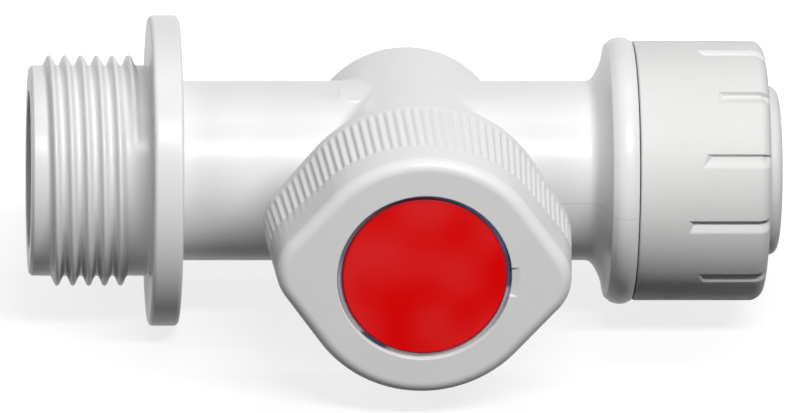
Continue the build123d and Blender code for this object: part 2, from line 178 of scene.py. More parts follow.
def softened(corners: list[Place], steps: int = 7) -> np.ndarray:
    """Join corners by straight lines and round each corner by its own radius.

    A corner's arc touches both of its lines, so its centre lies on the line that halves the angle, at
    the radius divided by the sine of half that angle.

    Args:
        corners: Places, radii and rounding radii, the first and the last of them left sharp.
        steps: Points on each rounded corner.

    Returns:
        Points (x, radius) of shape (rows, 2).
    """
    spots = np.array([corner[:2] for corner in corners])
    rows = [spots[:1]]
    for place in range(1, len(corners) - 1):
        here, radius = spots[place], corners[place][2]
        if radius == 0.0:
            rows.append(here[None])
            continue
        ways = np.stack([spots[place - 1] - here, spots[place + 1] - here])
        ways = ways / np.linalg.norm(ways, axis=1, keepdims=True)
        half = 0.5 * math.acos(float(np.clip(ways[0] @ ways[1], -1.0, 1.0)))
        middle = ways.sum(0) / np.linalg.norm(ways.sum(0))
        centre = here + middle * radius / math.sin(half)
        start, end = here + ways * radius / math.tan(half) - centre
        share = np.linspace(0.0, 1.0, steps)[:, None]
        sweep = math.pi - 2.0 * half
        bend = (np.sin((1.0 - share) * sweep) * start + np.sin(share * sweep) * end) / math.sin(sweep)
        rows.append(centre + bend)
    rows.append(spots[-1:])
    return np.concatenate(rows)


def spin_x(profile: np.ndarray, columns: int) -> np.ndarray:
    """Turn a profile of places and radii round the X axis.

    Each grid point is the profile's place along X, and its radius times the cosine and sine of the
    column's angle across.

    Args:
        profile: Points (x, radius) of shape (rows, 2).
        columns: Number of steps round the axis.

    Returns:
        Points of shape (rows, columns, 3).
    """
    angle = np.linspace(0.0, 2.0 * np.pi, columns, endpoint=False)
    along = np.repeat(profile[:, :1], columns, axis=1)
    return np.stack([along, profile[:, 1:] * np.cos(angle), profile[:, 1:] * np.sin(angle)], axis=2)


class Shell:
    """Closed surfaces gathered into one mesh."""

    def __init__(self) -> None:
        """Start with nothing in it."""
        self.points: list[np.ndarray] = []
        self.corners: list[np.ndarray] = []
        self.starts: list[np.ndarray] = []
        self.point_count = 0
        self.corner_count = 0

    def add_faces(self, points: np.ndarray, faces: np.ndarray) -> None:
        """Add points and the faces on them, all of one corner count.

        Args:
            points: Points of shape (count, 3).
            faces: Point numbers of shape (faces, corners), counted from this call's first point.
        """
        self.points.append(points)
        self.link_faces(faces + self.point_count)
        self.point_count += len(points)

    def link_faces(self, faces: np.ndarray) -> None:
        """Add faces on points that are in the shell.

        Args:
            faces: Point numbers of shape (faces, corners), counted from the shell's first point.
        """
        size = faces.shape[1]
        self.starts.append(self.corner_count + size * np.arange(len(faces)))
        self.corners.append(faces.ravel())
        self.corner_count += faces.size

    def add_grid(self, grid: np.ndarray, close_rows: bool, pole_ends: bool = False) -> None:
        """Add a grid whose columns run round and close on themselves, facing outwards.

        The faces are turned over if the volume that they enclose, a sixth of the sum of the triple
        products of each triangle's corners, comes out negative.

        Args:
            grid: Points of shape (rows, columns, 3).
            close_rows: Whether the last row joins the first.
            pole_ends: Whether a point at the middle of each end row closes it.
        """
        rows, columns = grid.shape[:2]
        upper = columns * np.arange(rows if close_rows else rows - 1)[:, None]
        lower = (upper + columns) % (rows * columns)
        left = np.arange(columns)[None, :]
        right = (left + 1) % columns
        quads = np.stack([upper + left, upper + right, lower + right, lower + left], axis=2).reshape(-1, 4)
        points = grid.reshape(-1, 3)
        fans = np.zeros((0, 3), int)
        if pole_ends:
            ring = np.arange(columns)
            after = (ring + 1) % columns
            last = (rows - 1) * columns
            first_pole = np.full(columns, len(points))
            first_fan = np.stack([after, ring, first_pole], axis=1)
            last_fan = np.stack([last + ring, last + after, first_pole + 1], axis=1)
            fans = np.concatenate([first_fan, last_fan])
            points = np.concatenate([points, grid[0].mean(0)[None], grid[-1].mean(0)[None]])
        triangles = np.concatenate([quads[:, [0, 1, 2]], quads[:, [0, 2, 3]], fans])
        a, b, c = (points[triangles[:, k]] for k in range(3))
        if np.einsum("ij,ij->i", a, np.cross(b, c)).sum() < 0.0:
            quads = quads[:, ::-1]
            fans = fans[:, ::-1]
        base = self.point_count
        self.add_faces(points, quads)
        if len(fans):
            self.link_faces(fans + base)

    def add_mesh(self, mesh: bpy.types.Mesh) -> None:
        """Add a mesh that is made of triangles.

        Args:
            mesh: The mesh, which isn't changed.
        """
        points = np.empty(3 * len(mesh.vertices), np.float32)
        mesh.vertices.foreach_get("co", points)
        corners = np.empty(len(mesh.loops), np.int32)
        mesh.loops.foreach_get("vertex_index", corners)
        self.add_faces(points.reshape(-1, 3), corners.reshape(-1, 3))

    def piece(self, name: str, body: Body, slot: str, crease: float) -> bpy.types.Object:
        """Make the gathered surfaces an object that rides on a body, with large faces leading the shading.

        Args:
            name: Name of the piece.
            body: Body that it moves with.
            slot: Name of a material slot; not used.
            crease: Angle in degrees above which an edge between faces stays sharp.

        Returns:
            The object, at the origin, without a material.
        """
        points = np.concatenate(self.points).astype(np.float32)
        corners = np.concatenate(self.corners).astype(np.int32)
        starts = np.concatenate(self.starts).astype(np.int32)
        mesh = bpy.data.meshes.new(name)
        mesh.vertices.add(len(points))
        mesh.vertices.foreach_set("co", points.ravel())
        mesh.loops.add(len(corners))
        mesh.loops.foreach_set("vertex_index", corners)
        mesh.polygons.add(len(starts))
        mesh.polygons.foreach_set("loop_start", starts)
        mesh.polygons.foreach_set("use_smooth", np.ones(len(starts), bool))
        mesh.update(calc_edges=True)
        mesh.validate()
        mesh.set_sharp_from_angle(angle=math.radians(crease))
        obj = bpy.data.objects.new(name, mesh)
        bpy.context.scene.collection.objects.link(obj)
        weighting = obj.modifiers.new("even_normals", "WEIGHTED_NORMAL")
        weighting.keep_sharp = True
        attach(obj, body.value)
        LOG.info("%s: %d points, %d faces, rides on %s", name, len(points), len(starts), body.value)
        return obj


# Finishes


class NodeSheet:
    """Node tree being drawn, with short calls for placing and joining nodes."""

    def __init__(self, tree: bpy.types.NodeTree) -> None:
        """Take the tree to draw in."""
        self.tree = tree

    def add(self, kind: str, values: dict | None = None, **settings: object) -> Node:
        """Place a node.

        Args:
            kind: Blender's name of the node's type.
            values: Input values by socket name or number.
            settings: Attributes of the node itself.

        Returns:
            The new node.
        """
        node = self.tree.nodes.new(kind)
        for key, value in settings.items():
            setattr(node, key, value)
        for key, value in (values or {}).items():
            node.inputs[key].default_value = value
        return node

    def join(self, start: Socket, end: Socket) -> None:
        """Lead one socket into another."""
        self.tree.links.new(start, end)

    def feed(self, value: Socket | float | Colour, end: Socket) -> None:
        """Lead a socket into another, or set that one to a plain value.

        Args:
            value: Socket, number or colour that goes in.
            end: Socket that takes it.
        """
        if isinstance(value, Socket):
            self.join(value, end)
        else:
            end.default_value = value

    def math(self, operation: str, first: Socket | float, second: Socket | float = 0.0) -> Socket:
        """Work out one step of arithmetic on sockets or plain numbers.

        Args:
            operation: Blender's name of the operation.
            first: Socket or number that goes in first.
            second: Socket or number that goes in second.

        Returns:
            The socket with the result.
        """
        node = self.add("ShaderNodeMath", operation=operation)
        self.feed(first, node.inputs[0])
        self.feed(second, node.inputs[1])
        return node.outputs[0]

    def vector(self, operation: str, first: Socket, second: Place = (0.0, 0.0, 0.0)) -> Socket:
        """Work out one step of arithmetic on a vector.

        Args:
            operation: Blender's name of the operation.
            first: Socket of the vector.
            second: Fixed vector that goes in second.

        Returns:
            The socket with the result, a number where the operation is a length.
        """
        node = self.add("ShaderNodeVectorMath", {1: second}, operation=operation)
        self.join(first, node.inputs[0])
        return node.outputs["Value" if operation == "LENGTH" else "Vector"]

    def noise(self, place: Socket, scale: float, detail: float) -> Socket:
        """Draw a noise.

        Args:
            place: Socket of the places it is drawn at.
            scale: Lumps to a unit of length.
            detail: Number of finer layers on it.

        Returns:
            The socket with the noise's value.
        """
        node = self.add("ShaderNodeTexNoise", {"Scale": scale, "Detail": detail})
        self.join(place, node.inputs["Vector"])
        return node.outputs["Fac"]

    def spread(self, value: Socket, low: float, high: float, new_low: float, new_high: float) -> Socket:
        """Map a range of values on to another, smoothly and held at its ends.

        Args:
            value: Socket to map.
            low: Start of the range that comes in.
            high: End of the range that comes in.
            new_low: What low becomes.
            new_high: What high becomes.

        Returns:
            The socket with the mapped value.
        """
        ends = {"From Min": low, "From Max": high, "To Min": new_low, "To Max": new_high}
        node = self.add("ShaderNodeMapRange", ends, interpolation_type="SMOOTHSTEP")
        self.join(value, node.inputs["Value"])
        return node.outputs["Result"]

    def blend_colours(self, share: Socket, first: Socket | Colour, second: Socket | Colour) -> Socket:
        """Go from one colour to another by a share.

        Args:
            share: Socket that is 0 for the first colour and 1 for the second.
            first: Socket or colour.
            second: Socket or colour.

        Returns:
            The socket with the blended colour.
        """
        node = self.add("ShaderNodeMix", data_type="RGBA")
        self.join(share, node.inputs[0])
        self.feed(first, node.inputs[6])
        self.feed(second, node.inputs[7])
        return node.outputs[2]

    def bump(self, shader: Node, height: Socket, strength: float, distance: float) -> None:
        """Raise a shader's surface.

        Args:
            shader: The material's shader.
            height: Socket of the height, from 0 to 1.
            strength: Share of the effect.
            distance: Length that a height of 1 stands for.
        """
        node = self.add("ShaderNodeBump", {"Strength": strength, "Distance": distance})
        self.join(height, node.inputs["Height"])
        self.join(node.outputs["Normal"], shader.inputs["Normal"])


def colour(red: float, green: float, blue: float) -> Colour:
    """Make an opaque colour of three linear shares."""
    return (red, green, blue, 1.0)


def new_group(name: str, inputs: dict[str, float], outputs: list[str]) -> tuple[NodeSheet, Node, Node]:
    """Start a shader node group that reads a vector and some numbers.

    Args:
        name: Name of the group.
        inputs: Number inputs with their usual values.
        outputs: Names of the number outputs.

    Returns:
        The sheet to draw on, and the group's input and output nodes.
    """
    tree = bpy.data.node_groups.new(name, "ShaderNodeTree")
    tree.interface.new_socket("Vector", in_out="INPUT", socket_type="NodeSocketVector")
    for label, usual in inputs.items():
        socket = tree.interface.new_socket(label, in_out="INPUT", socket_type="NodeSocketFloat")
        socket.default_value = usual
    for label in outputs:
        tree.interface.new_socket(label, in_out="OUTPUT", socket_type="NodeSocketFloat")
    sheet = NodeSheet(tree)
    return sheet, sheet.add("NodeGroupInput"), sheet.add("NodeGroupOutput")


def new_material(name: str) -> tuple[bpy.types.Material, NodeSheet, Node]:
    """Start a material.

    Args:
        name: Name of the material.

    Returns:
        The material, the sheet to draw on and the material's shader.
    """
    material = bpy.data.materials.new(name)
    material.use_nodes = True
    return material, NodeSheet(material.node_tree), material.node_tree.nodes["Principled BSDF"]


class SkinGroups:
    """Node groups that several of the finishes share."""

    noise_range: Spot = (0.15, 0.85)

    def __init__(self) -> None:
        """Draw each group once."""
        self.grain = self._draw_grain()
        self.marks = self._draw_marks()

    def _draw_grain(self) -> bpy.types.NodeTree:
        """Draw the moulded skin: a fine grain, a cloudy tone and a gloss that wanders a little.

        Returns:
            The group, with outputs Height, Tone and Gloss.
        """
        sheet, start, end = new_group("moulded_grain", {"Grain Scale": 4000.0}, ["Height", "Tone", "Gloss"])
        place = start.outputs["Vector"]
        grain = sheet.add("ShaderNodeTexNoise", {"Detail": 2.0, "Roughness": 0.55})
        sheet.join(place, grain.inputs["Vector"])
        sheet.join(start.outputs["Grain Scale"], grain.inputs["Scale"])
        sheet.join(grain.outputs["Fac"], end.inputs["Height"])
        cloud = sheet.noise(place, 90.0, 3.0)
        sheet.join(sheet.spread(cloud, *self.noise_range, 0.0, 1.0), end.inputs["Tone"])
        sheen = sheet.noise(place, 420.0, 2.0)
        sheet.join(sheet.spread(sheen, *self.noise_range, 0.0, 1.0), end.inputs["Gloss"])
        return sheet.tree

    def _draw_marks(self) -> bpy.types.NodeTree:
        """Draw handling marks: sparse specks of dirt and short faint scratches.

        Returns:
            The group, with outputs Specks and Scuffs.
        """
        scales = {"Speck Scale": 160.0, "Scuff Scale": 70.0}
        sheet, start, end = new_group("handling_marks", scales, ["Specks", "Scuffs"])
        cells = sheet.add("ShaderNodeTexVoronoi", {"Randomness": 1.0})
        sheet.join(start.outputs["Vector"], cells.inputs["Vector"])
        sheet.join(start.outputs["Speck Scale"], cells.inputs["Scale"])
        rare = sheet.add("ShaderNodeSeparateColor")
        sheet.join(cells.outputs["Color"], rare.inputs["Color"])
        chosen = sheet.spread(rare.outputs["Red"], 0.93, 0.95, 0.0, 1.0)
        near = sheet.spread(cells.outputs["Distance"], 0.02, 0.035, 1.0, 0.0)
        sheet.join(sheet.math("MULTIPLY", chosen, near), end.inputs["Specks"])
        stretch = sheet.add("ShaderNodeMapping", {"Rotation": (0.3, 0.5, 0.2), "Scale": (1.0, 9.0, 14.0)})
        sheet.join(start.outputs["Vector"], stretch.inputs["Vector"])
        rub = sheet.add("ShaderNodeTexNoise", {"Detail": 4.0, "Roughness": 0.65})
        sheet.join(stretch.outputs["Vector"], rub.inputs["Vector"])
        sheet.join(start.outputs["Scuff Scale"], rub.inputs["Scale"])
        sheet.join(sheet.spread(rub.outputs["Fac"], 0.70, 0.84, 0.0, 1.0), end.inputs["Scuffs"])
        return sheet.tree


class Skin(Enum):
    """How deep a moulded surface's grain is."""

    POLISHED = 2.0 * MICRON
    SATIN = 1.6 * MICRON
    TEXTURED = 5.0 * MICRON


@dataclass(frozen=True)
class MouldedFinish:
    """Moulded plastic with grain, faint clouding and handling marks."""

    name: str
    tint: Colour
    gloss: Spot
    skin: Skin
    mirror: float = 0.33
    clouding: float = 0.03
    soiling: float = 0.25
    rubbing: float = 0.05
    grime: Colour = colour(0.2, 0.2, 0.19)
    grain_scale: float = 4000.0
    bump_strength: float = 0.5
    parting_line: bool = False
    parting_half_width: float = 0.05 * MM
    parting_from: float = -40.0 * MM
    parting_full: float = -4.0 * MM
    parting_least: float = 0.12
    parting_share: float = 0.35
    parting_tint: Colour = colour(0.35, 0.35, 0.34)
    parting_depth: float = 3.0

    def make(self, groups: SkinGroups) -> bpy.types.Material:
        """Draw the material.

        Args:
            groups: The shared node groups.

        Returns:
            The material, reading Object coordinates.
        """
        material, sheet, shader = new_material(self.name)
        shader.inputs["Specular IOR Level"].default_value = self.mirror
        place = sheet.add("ShaderNodeTexCoord").outputs["Object"]
        grain = sheet.add("ShaderNodeGroup", node_tree=groups.grain)
        grain.inputs["Grain Scale"].default_value = self.grain_scale
        marks = sheet.add("ShaderNodeGroup", node_tree=groups.marks)
        for group in (grain, marks):
            sheet.join(place, group.inputs["Vector"])
        deeper = colour(*(share * (1.0 - self.clouding) for share in self.tint[:3]))
        shade = sheet.blend_colours(grain.outputs["Tone"], self.tint, deeper)
        dirt = sheet.math("MULTIPLY", marks.outputs["Specks"], self.soiling)
        rubbed = sheet.math("MULTIPLY", marks.outputs["Scuffs"], self.rubbing * self.soiling)
        shade = sheet.blend_colours(sheet.math("ADD", dirt, rubbed), shade, self.grime)
        height = grain.outputs["Height"]
        if self.parting_line:
            line = self._parting_mask(sheet, place)
            tinged = sheet.math("MULTIPLY", line, self.parting_share)
            shade = sheet.blend_colours(tinged, shade, self.parting_tint)
            height = sheet.math("SUBTRACT", height, sheet.math("MULTIPLY", line, self.parting_depth))
        sheet.join(shade, shader.inputs["Base Color"])
        rough = sheet.spread(grain.outputs["Gloss"], 0.0, 1.0, *self.gloss)
        sheet.join(sheet.math("ADD", rough, rubbed), shader.inputs["Roughness"])
        sheet.bump(shader, height, self.bump_strength, self.skin.value)
        return material

    def _parting_mask(self, sheet: NodeSheet, place: Socket) -> Socket:
        """Mark the line where the mould halves met, level with the axis and fainter towards the hose end.

        Args:
            sheet: The material's sheet.
            place: Socket of the Object coordinates.

        Returns:
            A socket that is 1 on the line and 0 off it.
        """
        parts = sheet.add("ShaderNodeSeparateXYZ")
        sheet.join(place, parts.inputs["Vector"])
        away = sheet.math("ABSOLUTE", parts.outputs["Z"])
        line = sheet.spread(away, 0.4 * self.parting_half_width, 1.6 * self.parting_half_width, 1.0, 0.0)
        clear = sheet.spread(
            parts.outputs["X"], self.parting_from, self.parting_full, self.parting_least, 1.0
        )
        return sheet.math("MULTIPLY", line, clear)


@dataclass(frozen=True)
class DiscFinish:
    """Plain red paint of the disc, a little uneven in tone, with painted shade along the rim."""

    name: str
    centre: Place
    radius: float
    deep: Colour = colour(0.84, 0.0, 0.0)
    light: Colour = colour(0.85, 0.019, 0.021)
    # painted shade: dark red laid along the disc's rim where its edge falls into shade
    edge: Colour = colour(0.42, 0.008, 0.012)
    rough: float = 0.5
    mirror: float = 0.12
    cloud_scale: float = 1.6
    clouds: Spot = (0.2, 0.8)
    # painted shade: width of the dark band at the rim, in parts of the disc's radius
    rim: Spot = (0.012, 0.04)
    grain_scale: float = 2500.0
    grain_depth: float = 2.0 * MICRON
    bump_strength: float = 0.4

    def make(self) -> bpy.types.Material:
        """Draw the material, reading Object coordinates in parts of the disc's radius.

        Returns:
            The material, with painted shade along the disc's rim.
        """
        material, sheet, shader = new_material(self.name)
        shader.inputs["Roughness"].default_value = self.rough
        shader.inputs["Specular IOR Level"].default_value = self.mirror
        place = sheet.add("ShaderNodeTexCoord").outputs["Object"]
        part = 1.0 / self.radius
        flat = sheet.vector("MULTIPLY", sheet.vector("SUBTRACT", place, self.centre), (part, part, part))
        share = sheet.spread(sheet.noise(flat, self.cloud_scale, 0.0), *self.clouds, 0.0, 1.0)
        reds = sheet.blend_colours(share, self.light, self.deep)
        out = sheet.vector("LENGTH", sheet.vector("MULTIPLY", flat, (1.0, 0.0, 1.0)))
        # painted shade: the rim band mixes the reds towards the dark edge colour
        rim = sheet.spread(sheet.math("SUBTRACT", 1.0, out), *self.rim, 1.0, 0.0)
        sheet.join(sheet.blend_colours(rim, reds, self.edge), shader.inputs["Base Color"])
        sheet.bump(shader, sheet.noise(place, self.grain_scale, 2.0), self.bump_strength, self.grain_depth)
        return material


class RimPrintAndPaintedLight(Enum):
    """Colours round the disc's rim: blue print, a pale grey of painted light and a dark slate of painted
    shade.
    """

    NAVY = colour(0.04, 0.055, 0.16)
    # painted light: the blue print is lightened to make up for the shade at the upper right
    BLUE = colour(0.13, 0.29, 0.55)
    # painted shade: dark slate stands for the shade at the upper left of the recess
    SLATE = colour(0.14, 0.14, 0.19)
    MIST = colour(0.36, 0.40, 0.50)
    # painted light: pale grey stands for the lit lower wall of the recess
    WORN = colour(0.58, 0.57, 0.58)


@dataclass(frozen=True)
class BackingFinish:
    """Blue print round the disc's rim by angle round the disc, with painted light in pale grey at the bottom
    and painted shade in dark slate at the upper left.
    """

    name: str
    centre: Place
    rough: float = 0.45
    flaw_scale: float = 700.0
    flaw_depth: float = 4.0 * MICRON
    flaw_turn: float = 0.12
    bump_strength: float = 0.4
    # by angle: painted light in pale grey at the bottom, painted shade in dark slate at the upper left, blue
    # print elsewhere
    stops: tuple[tuple[float, RimPrintAndPaintedLight], ...] = (
        (-180.0, RimPrintAndPaintedLight.MIST),
        (-137.0, RimPrintAndPaintedLight.WORN),
        (-133.0, RimPrintAndPaintedLight.NAVY),
        (-116.0, RimPrintAndPaintedLight.NAVY),
        (-112.0, RimPrintAndPaintedLight.WORN),
        (-60.0, RimPrintAndPaintedLight.WORN),
        (-30.0, RimPrintAndPaintedLight.MIST),
        (-10.0, RimPrintAndPaintedLight.MIST),
        (-6.0, RimPrintAndPaintedLight.NAVY),
        (12.0, RimPrintAndPaintedLight.NAVY),
        (24.0, RimPrintAndPaintedLight.BLUE),
        (62.0, RimPrintAndPaintedLight.BLUE),
        (95.0, RimPrintAndPaintedLight.NAVY),
        (130.0, RimPrintAndPaintedLight.SLATE),
        (165.0, RimPrintAndPaintedLight.SLATE),
        (180.0, RimPrintAndPaintedLight.MIST),
    )

    def make(self) -> bpy.types.Material:
        """Draw the material from the angle round the disc's centre, with broken edges.

        Returns:
            The material, reading Object coordinates.
        """
        material, sheet, shader = new_material(self.name)
        shader.inputs["Roughness"].default_value = self.rough
        place = sheet.add("ShaderNodeTexCoord").outputs["Object"]
        parts = sheet.add("ShaderNodeSeparateXYZ")
        sheet.join(place, parts.inputs["Vector"])
        flaws = sheet.noise(place, self.flaw_scale, 2.0)
        up = sheet.math("SUBTRACT", parts.outputs["Z"], self.centre[2])
        across = sheet.math("SUBTRACT", parts.outputs["X"], self.centre[0])
        broken = sheet.math("MULTIPLY", sheet.math("SUBTRACT", flaws, 0.5), self.flaw_turn)
        angle = sheet.math("ADD", sheet.math("ARCTAN2", up, across), broken)
        ramp = sheet.add("ShaderNodeValToRGB")
        sheet.join(sheet.math("ADD", sheet.math("MULTIPLY", angle, 0.5 / math.pi), 0.5), ramp.inputs["Fac"])
        marks = ramp.color_ramp.elements
        for degrees, shade in self.stops[1:-1]:
            marks.new(0.5 + degrees / 360.0).color = shade.value
        marks[0].color = self.stops[0][1].value
        marks[-1].color = self.stops[-1][1].value
        sheet.join(ramp.outputs["Color"], shader.inputs["Base Color"])
        sheet.bump(shader, flaws, self.bump_strength, self.flaw_depth)
        return material


@dataclass(frozen=True)
class HiddenFinish:
    """Finish of the pieces inside: rubber or steel with a fine worked surface."""

    name: str
    tint: Colour
    rough: Spot
    metallic: float = 0.0
    stretch: Place = (1.0, 1.0, 1.0)
    dimming: float = 0.8
    work_scale: float = 900.0
    work_depth: float = 3.0 * MICRON
    bump_strength: float = 0.4

    def make(self) -> bpy.types.Material:
        """Draw the material with a noise drawn out along the working direction.

        Returns:
            The material, reading Object coordinates.
        """
        material, sheet, shader = new_material(self.name)
        shader.inputs["Metallic"].default_value = self.metallic
        along = sheet.add("ShaderNodeMapping", {"Scale": self.stretch})
        sheet.join(sheet.add("ShaderNodeTexCoord").outputs["Object"], along.inputs["Vector"])
        worked = sheet.noise(along.outputs["Vector"], self.work_scale, 3.0)
        dim = colour(*(self.dimming * share for share in self.tint[:3]))
        sheet.join(sheet.blend_colours(worked, self.tint, dim), shader.inputs["Base Color"])
        sheet.join(sheet.spread(worked, 0.3, 0.7, *self.rough), shader.inputs["Roughness"])
        sheet.bump(shader, worked, self.bump_strength, self.work_depth)
        return material


BODY_GLOSS = MouldedFinish(
    "body_gloss_white", colour(0.765, 0.765, 0.76), (0.285, 0.345), Skin.POLISHED, parting_line=True
)
CAP_MATTE = MouldedFinish(
    "cap_matte_white",
    colour(0.70, 0.70, 0.692),
    (0.48, 0.56),
    Skin.TEXTURED,
    mirror=0.2,
    soiling=0.5,
    grain_scale=3200.0,
)
KNOB_SATIN = MouldedFinish(
    "knob_satin_white", colour(0.76, 0.76, 0.755), (0.36, 0.42), Skin.SATIN, mirror=0.3
)
COLLET_SATIN = MouldedFinish(
    "collet_satin_white", colour(0.69, 0.69, 0.683), (0.42, 0.5), Skin.SATIN, mirror=0.2
)
INNER_WHITE = MouldedFinish("inner_white", colour(0.74, 0.74, 0.72), (0.35, 0.45), Skin.SATIN)
SEAT_MILKY = MouldedFinish("seat_milky", colour(0.80, 0.80, 0.76), (0.4, 0.5), Skin.SATIN)
SEAL_BLACK = HiddenFinish("seal_black", colour(0.022, 0.022, 0.023), (0.5, 0.65))
GRIP_STEEL = HiddenFinish("grip_steel", colour(0.56, 0.56, 0.55), (0.22, 0.36), 1.0, (0.2, 1.0, 1.0))


def dress(obj: bpy.types.Object, material: bpy.types.Material) -> None:
    """Give an object one material in place of what it has."""
    obj.data.materials.clear()
    obj.data.materials.append(material)


# Sub-assemblies


@dataclass
class HoseEnd:
    """Hose end of the body: tube, flange, neck and a right-hand thread with rounded crests and roots."""

    centre_x: float
    end_x: float
    cut: float = -MIDDLE_HALF
    tube_r: float = TUBE_R
    flange_front: float = -26.48 * MM
    flange_back: float = -29.93 * MM
    flange_r: float = 17.8 * MM
    flange_round: float = 0.55 * MM
    corner_round: float = 0.3 * MM
    root_r: float = 12.057 * MM
    crest_r: float = 13.21 * MM
    bore_r: float = 9.2 * MM
    way_r: float = WAY_R
    pitch: float = 25.4 * MM / 14
    first_crest: float = 2.45 * MM
    start_turn: float = 0.02
    end_turn: float = 5.42
    run: float = 0.16
    chamfer: float = 0.35 * MM
    nose_round: float = 0.15 * MM
    nose_land: float = 0.15 * MM
    neck_land: float = 0.02 * MM
    bore_round: float = 0.15 * MM
    rows_per_pitch: int = 18
    columns: int = 288

    def height(self, along: np.ndarray, angle: np.ndarray) -> np.ndarray:
        """Work out how high the thread stands above its root.

        The nearest crest is found by rounding the distance from the first crest, in pitches, less the
        angle in turns. The form across a crest is halfway between a raised cosine and its cubic easing,
        and it fades at both ends of the helix, whose turns are counted along it.

        Args:
            along: Places along X.
            angle: Angles round X from +Y towards +Z, in radians.

        Returns:
            Heights from 0 to the thread's depth.
        """
        quarter = 0.25
        turns = angle / (2.0 * np.pi)
        crest_x = self.end_x + self.first_crest - quarter * self.pitch
        across = (along - crest_x) / self.pitch - turns
        crest = np.round(across)
        wave = 0.5 + 0.5 * np.cos(2.0 * np.pi * (across - crest))
        form = 0.5 * wave + 0.5 * smooth_step(wave, 0.0, 1.0)
        along_helix = crest + turns
        fade = smooth_step(along_helix, self.start_turn, self.start_turn + self.run)
        fade = fade * (1.0 - smooth_step(along_helix, self.end_turn - self.run, self.end_turn))
        return (self.crest_r - self.root_r) * form * fade

    def grid(self) -> np.ndarray:
        """Carry the closed profile round the axis: outside, nose and waterway, with the thread raised on it.

        Returns:
            Points of shape (rows, columns, 3), with rows that close on themselves.
        """
        cut, front, back = (self.centre_x + x for x in (self.cut, self.flange_front, self.flange_back))
        neck_x = back - self.corner_round - self.neck_land
        wall_to = self.end_x + self.chamfer + self.nose_land
        outside = softened(
            [
                (cut, self.tube_r, 0.0),
                (front, self.tube_r, self.corner_round),
                (front, self.flange_r, self.flange_round),
                (back, self.flange_r, self.flange_round),
                (back, self.root_r, self.corner_round),
                (neck_x, self.root_r, 0.0),
            ],
            9,
        )
        count = int(self.rows_per_pitch * (neck_x - wall_to) / self.pitch)
        thread_x = np.linspace(neck_x, wall_to, count + 1)[1:]
        thread = np.stack([thread_x, np.full(count, self.root_r)], axis=1)
        step = self.bore_r - self.way_r
        inside = softened(
            [
                (wall_to, self.root_r, 0.0),
                (self.end_x + self.chamfer, self.root_r, self.nose_round),
                (self.end_x, self.root_r - self.chamfer, self.nose_round),
                (self.end_x, self.bore_r, self.bore_round),
                (front, self.bore_r, 0.0),
                (front + step, self.way_r, 0.0),
                (cut, self.way_r, 0.0),
            ],
            9,
        )[1:]
        grid = spin_x(np.concatenate([outside, thread, inside]), self.columns)
        ridge = slice(len(outside), len(outside) + count)
        angle = np.arctan2(grid[ridge, :, 2], grid[ridge, :, 1]) % (2.0 * np.pi)
        radius = self.root_r + self.height(grid[ridge, :, 0], angle)
        grid[ridge, :, 1] = radius * np.cos(angle)
        grid[ridge, :, 2] = radius * np.sin(angle)
        return grid


@dataclass
class PipeEnd:
    """Push-fit end of the body: tube, flared and crowned shoulder, snap sleeve and pipe socket."""

    centre_x: float
    cut: float = MIDDLE_HALF
    tube_r: float = TUBE_R
    flare: float = 20.75 * MM
    flare_mid: Spot = (21.75 * MM, 11.9 * MM)
    wall: float = 22.5 * MM
    wall_r: float = 14.55 * MM
    crest: float = 23.9 * MM
    crest_r: float = 15.3 * MM
    seam: float = 25.5 * MM
    seam_r: float = SEAM_R
    foot_round: float = 1.1 * MM
    edge_round: float = 0.3 * MM
    seam_round: float = 0.25 * MM
    sleeve_r: float = SLEEVE_R
    sleeve_end: float = 31.5 * MM
    sleeve_round: float = 0.2 * MM
    snap_from: float = 27.1 * MM
    snap_length: float = 1.6 * MM
    snap_rise: float = 0.4 * MM
    snap_round: float = 0.1 * MM
    pocket: float = 23.5 * MM
    pocket_r: float = 10.2 * MM
    socket_r: float = 7.65 * MM
    stop: float = 14.0 * MM
    way_r: float = WAY_R
    columns: int = 288

    def grid(self) -> np.ndarray:
        """Carry the closed profile of outside, sleeve and socket round the axis.

        Returns:
            Points of shape (rows, columns, 3), with rows that close on themselves.
        """
        corner = (self.wall, self.wall_r)
        crown = arc_through(corner, (self.crest, self.crest_r), (self.seam, self.seam_r), 15)
        flare = arc_through((self.flare, self.tube_r), self.flare_mid, corner, 13)
        flare_foot = (self.flare, self.tube_r, self.foot_round)
        foot = softened([(self.cut, self.tube_r, 0.0), flare_foot, (*flare[2], 0.0)], 6)
        edge = softened([(*flare[10], 0.0), (*corner, self.edge_round), (*crown[3], 0.0)], 8)
        follow = softened(
            [
                (*crown[11], 0.0),
                (self.seam, self.seam_r, self.seam_round),
                (self.seam, self.sleeve_r, 0.0),
                (self.snap_from, self.sleeve_r, 0.0),
                (self.snap_from, self.sleeve_r + self.snap_rise, self.snap_round),
                (self.snap_from + self.snap_length, self.sleeve_r, 0.0),
                (self.sleeve_end, self.sleeve_r, self.sleeve_round),
                (self.sleeve_end, self.pocket_r, self.sleeve_round),
                (self.pocket, self.pocket_r, 0.0),
                (self.pocket, self.socket_r, 0.0),
                (self.stop, self.socket_r, 0.0),
                (self.stop, self.way_r, 0.0),
                (self.cut, self.way_r, 0.0),
            ],
            6,
        )
        profile = np.concatenate([foot, flare[3:10], edge, crown[4:11], follow])
        profile[:, 0] += self.centre_x
        return spin_x(profile, self.columns)


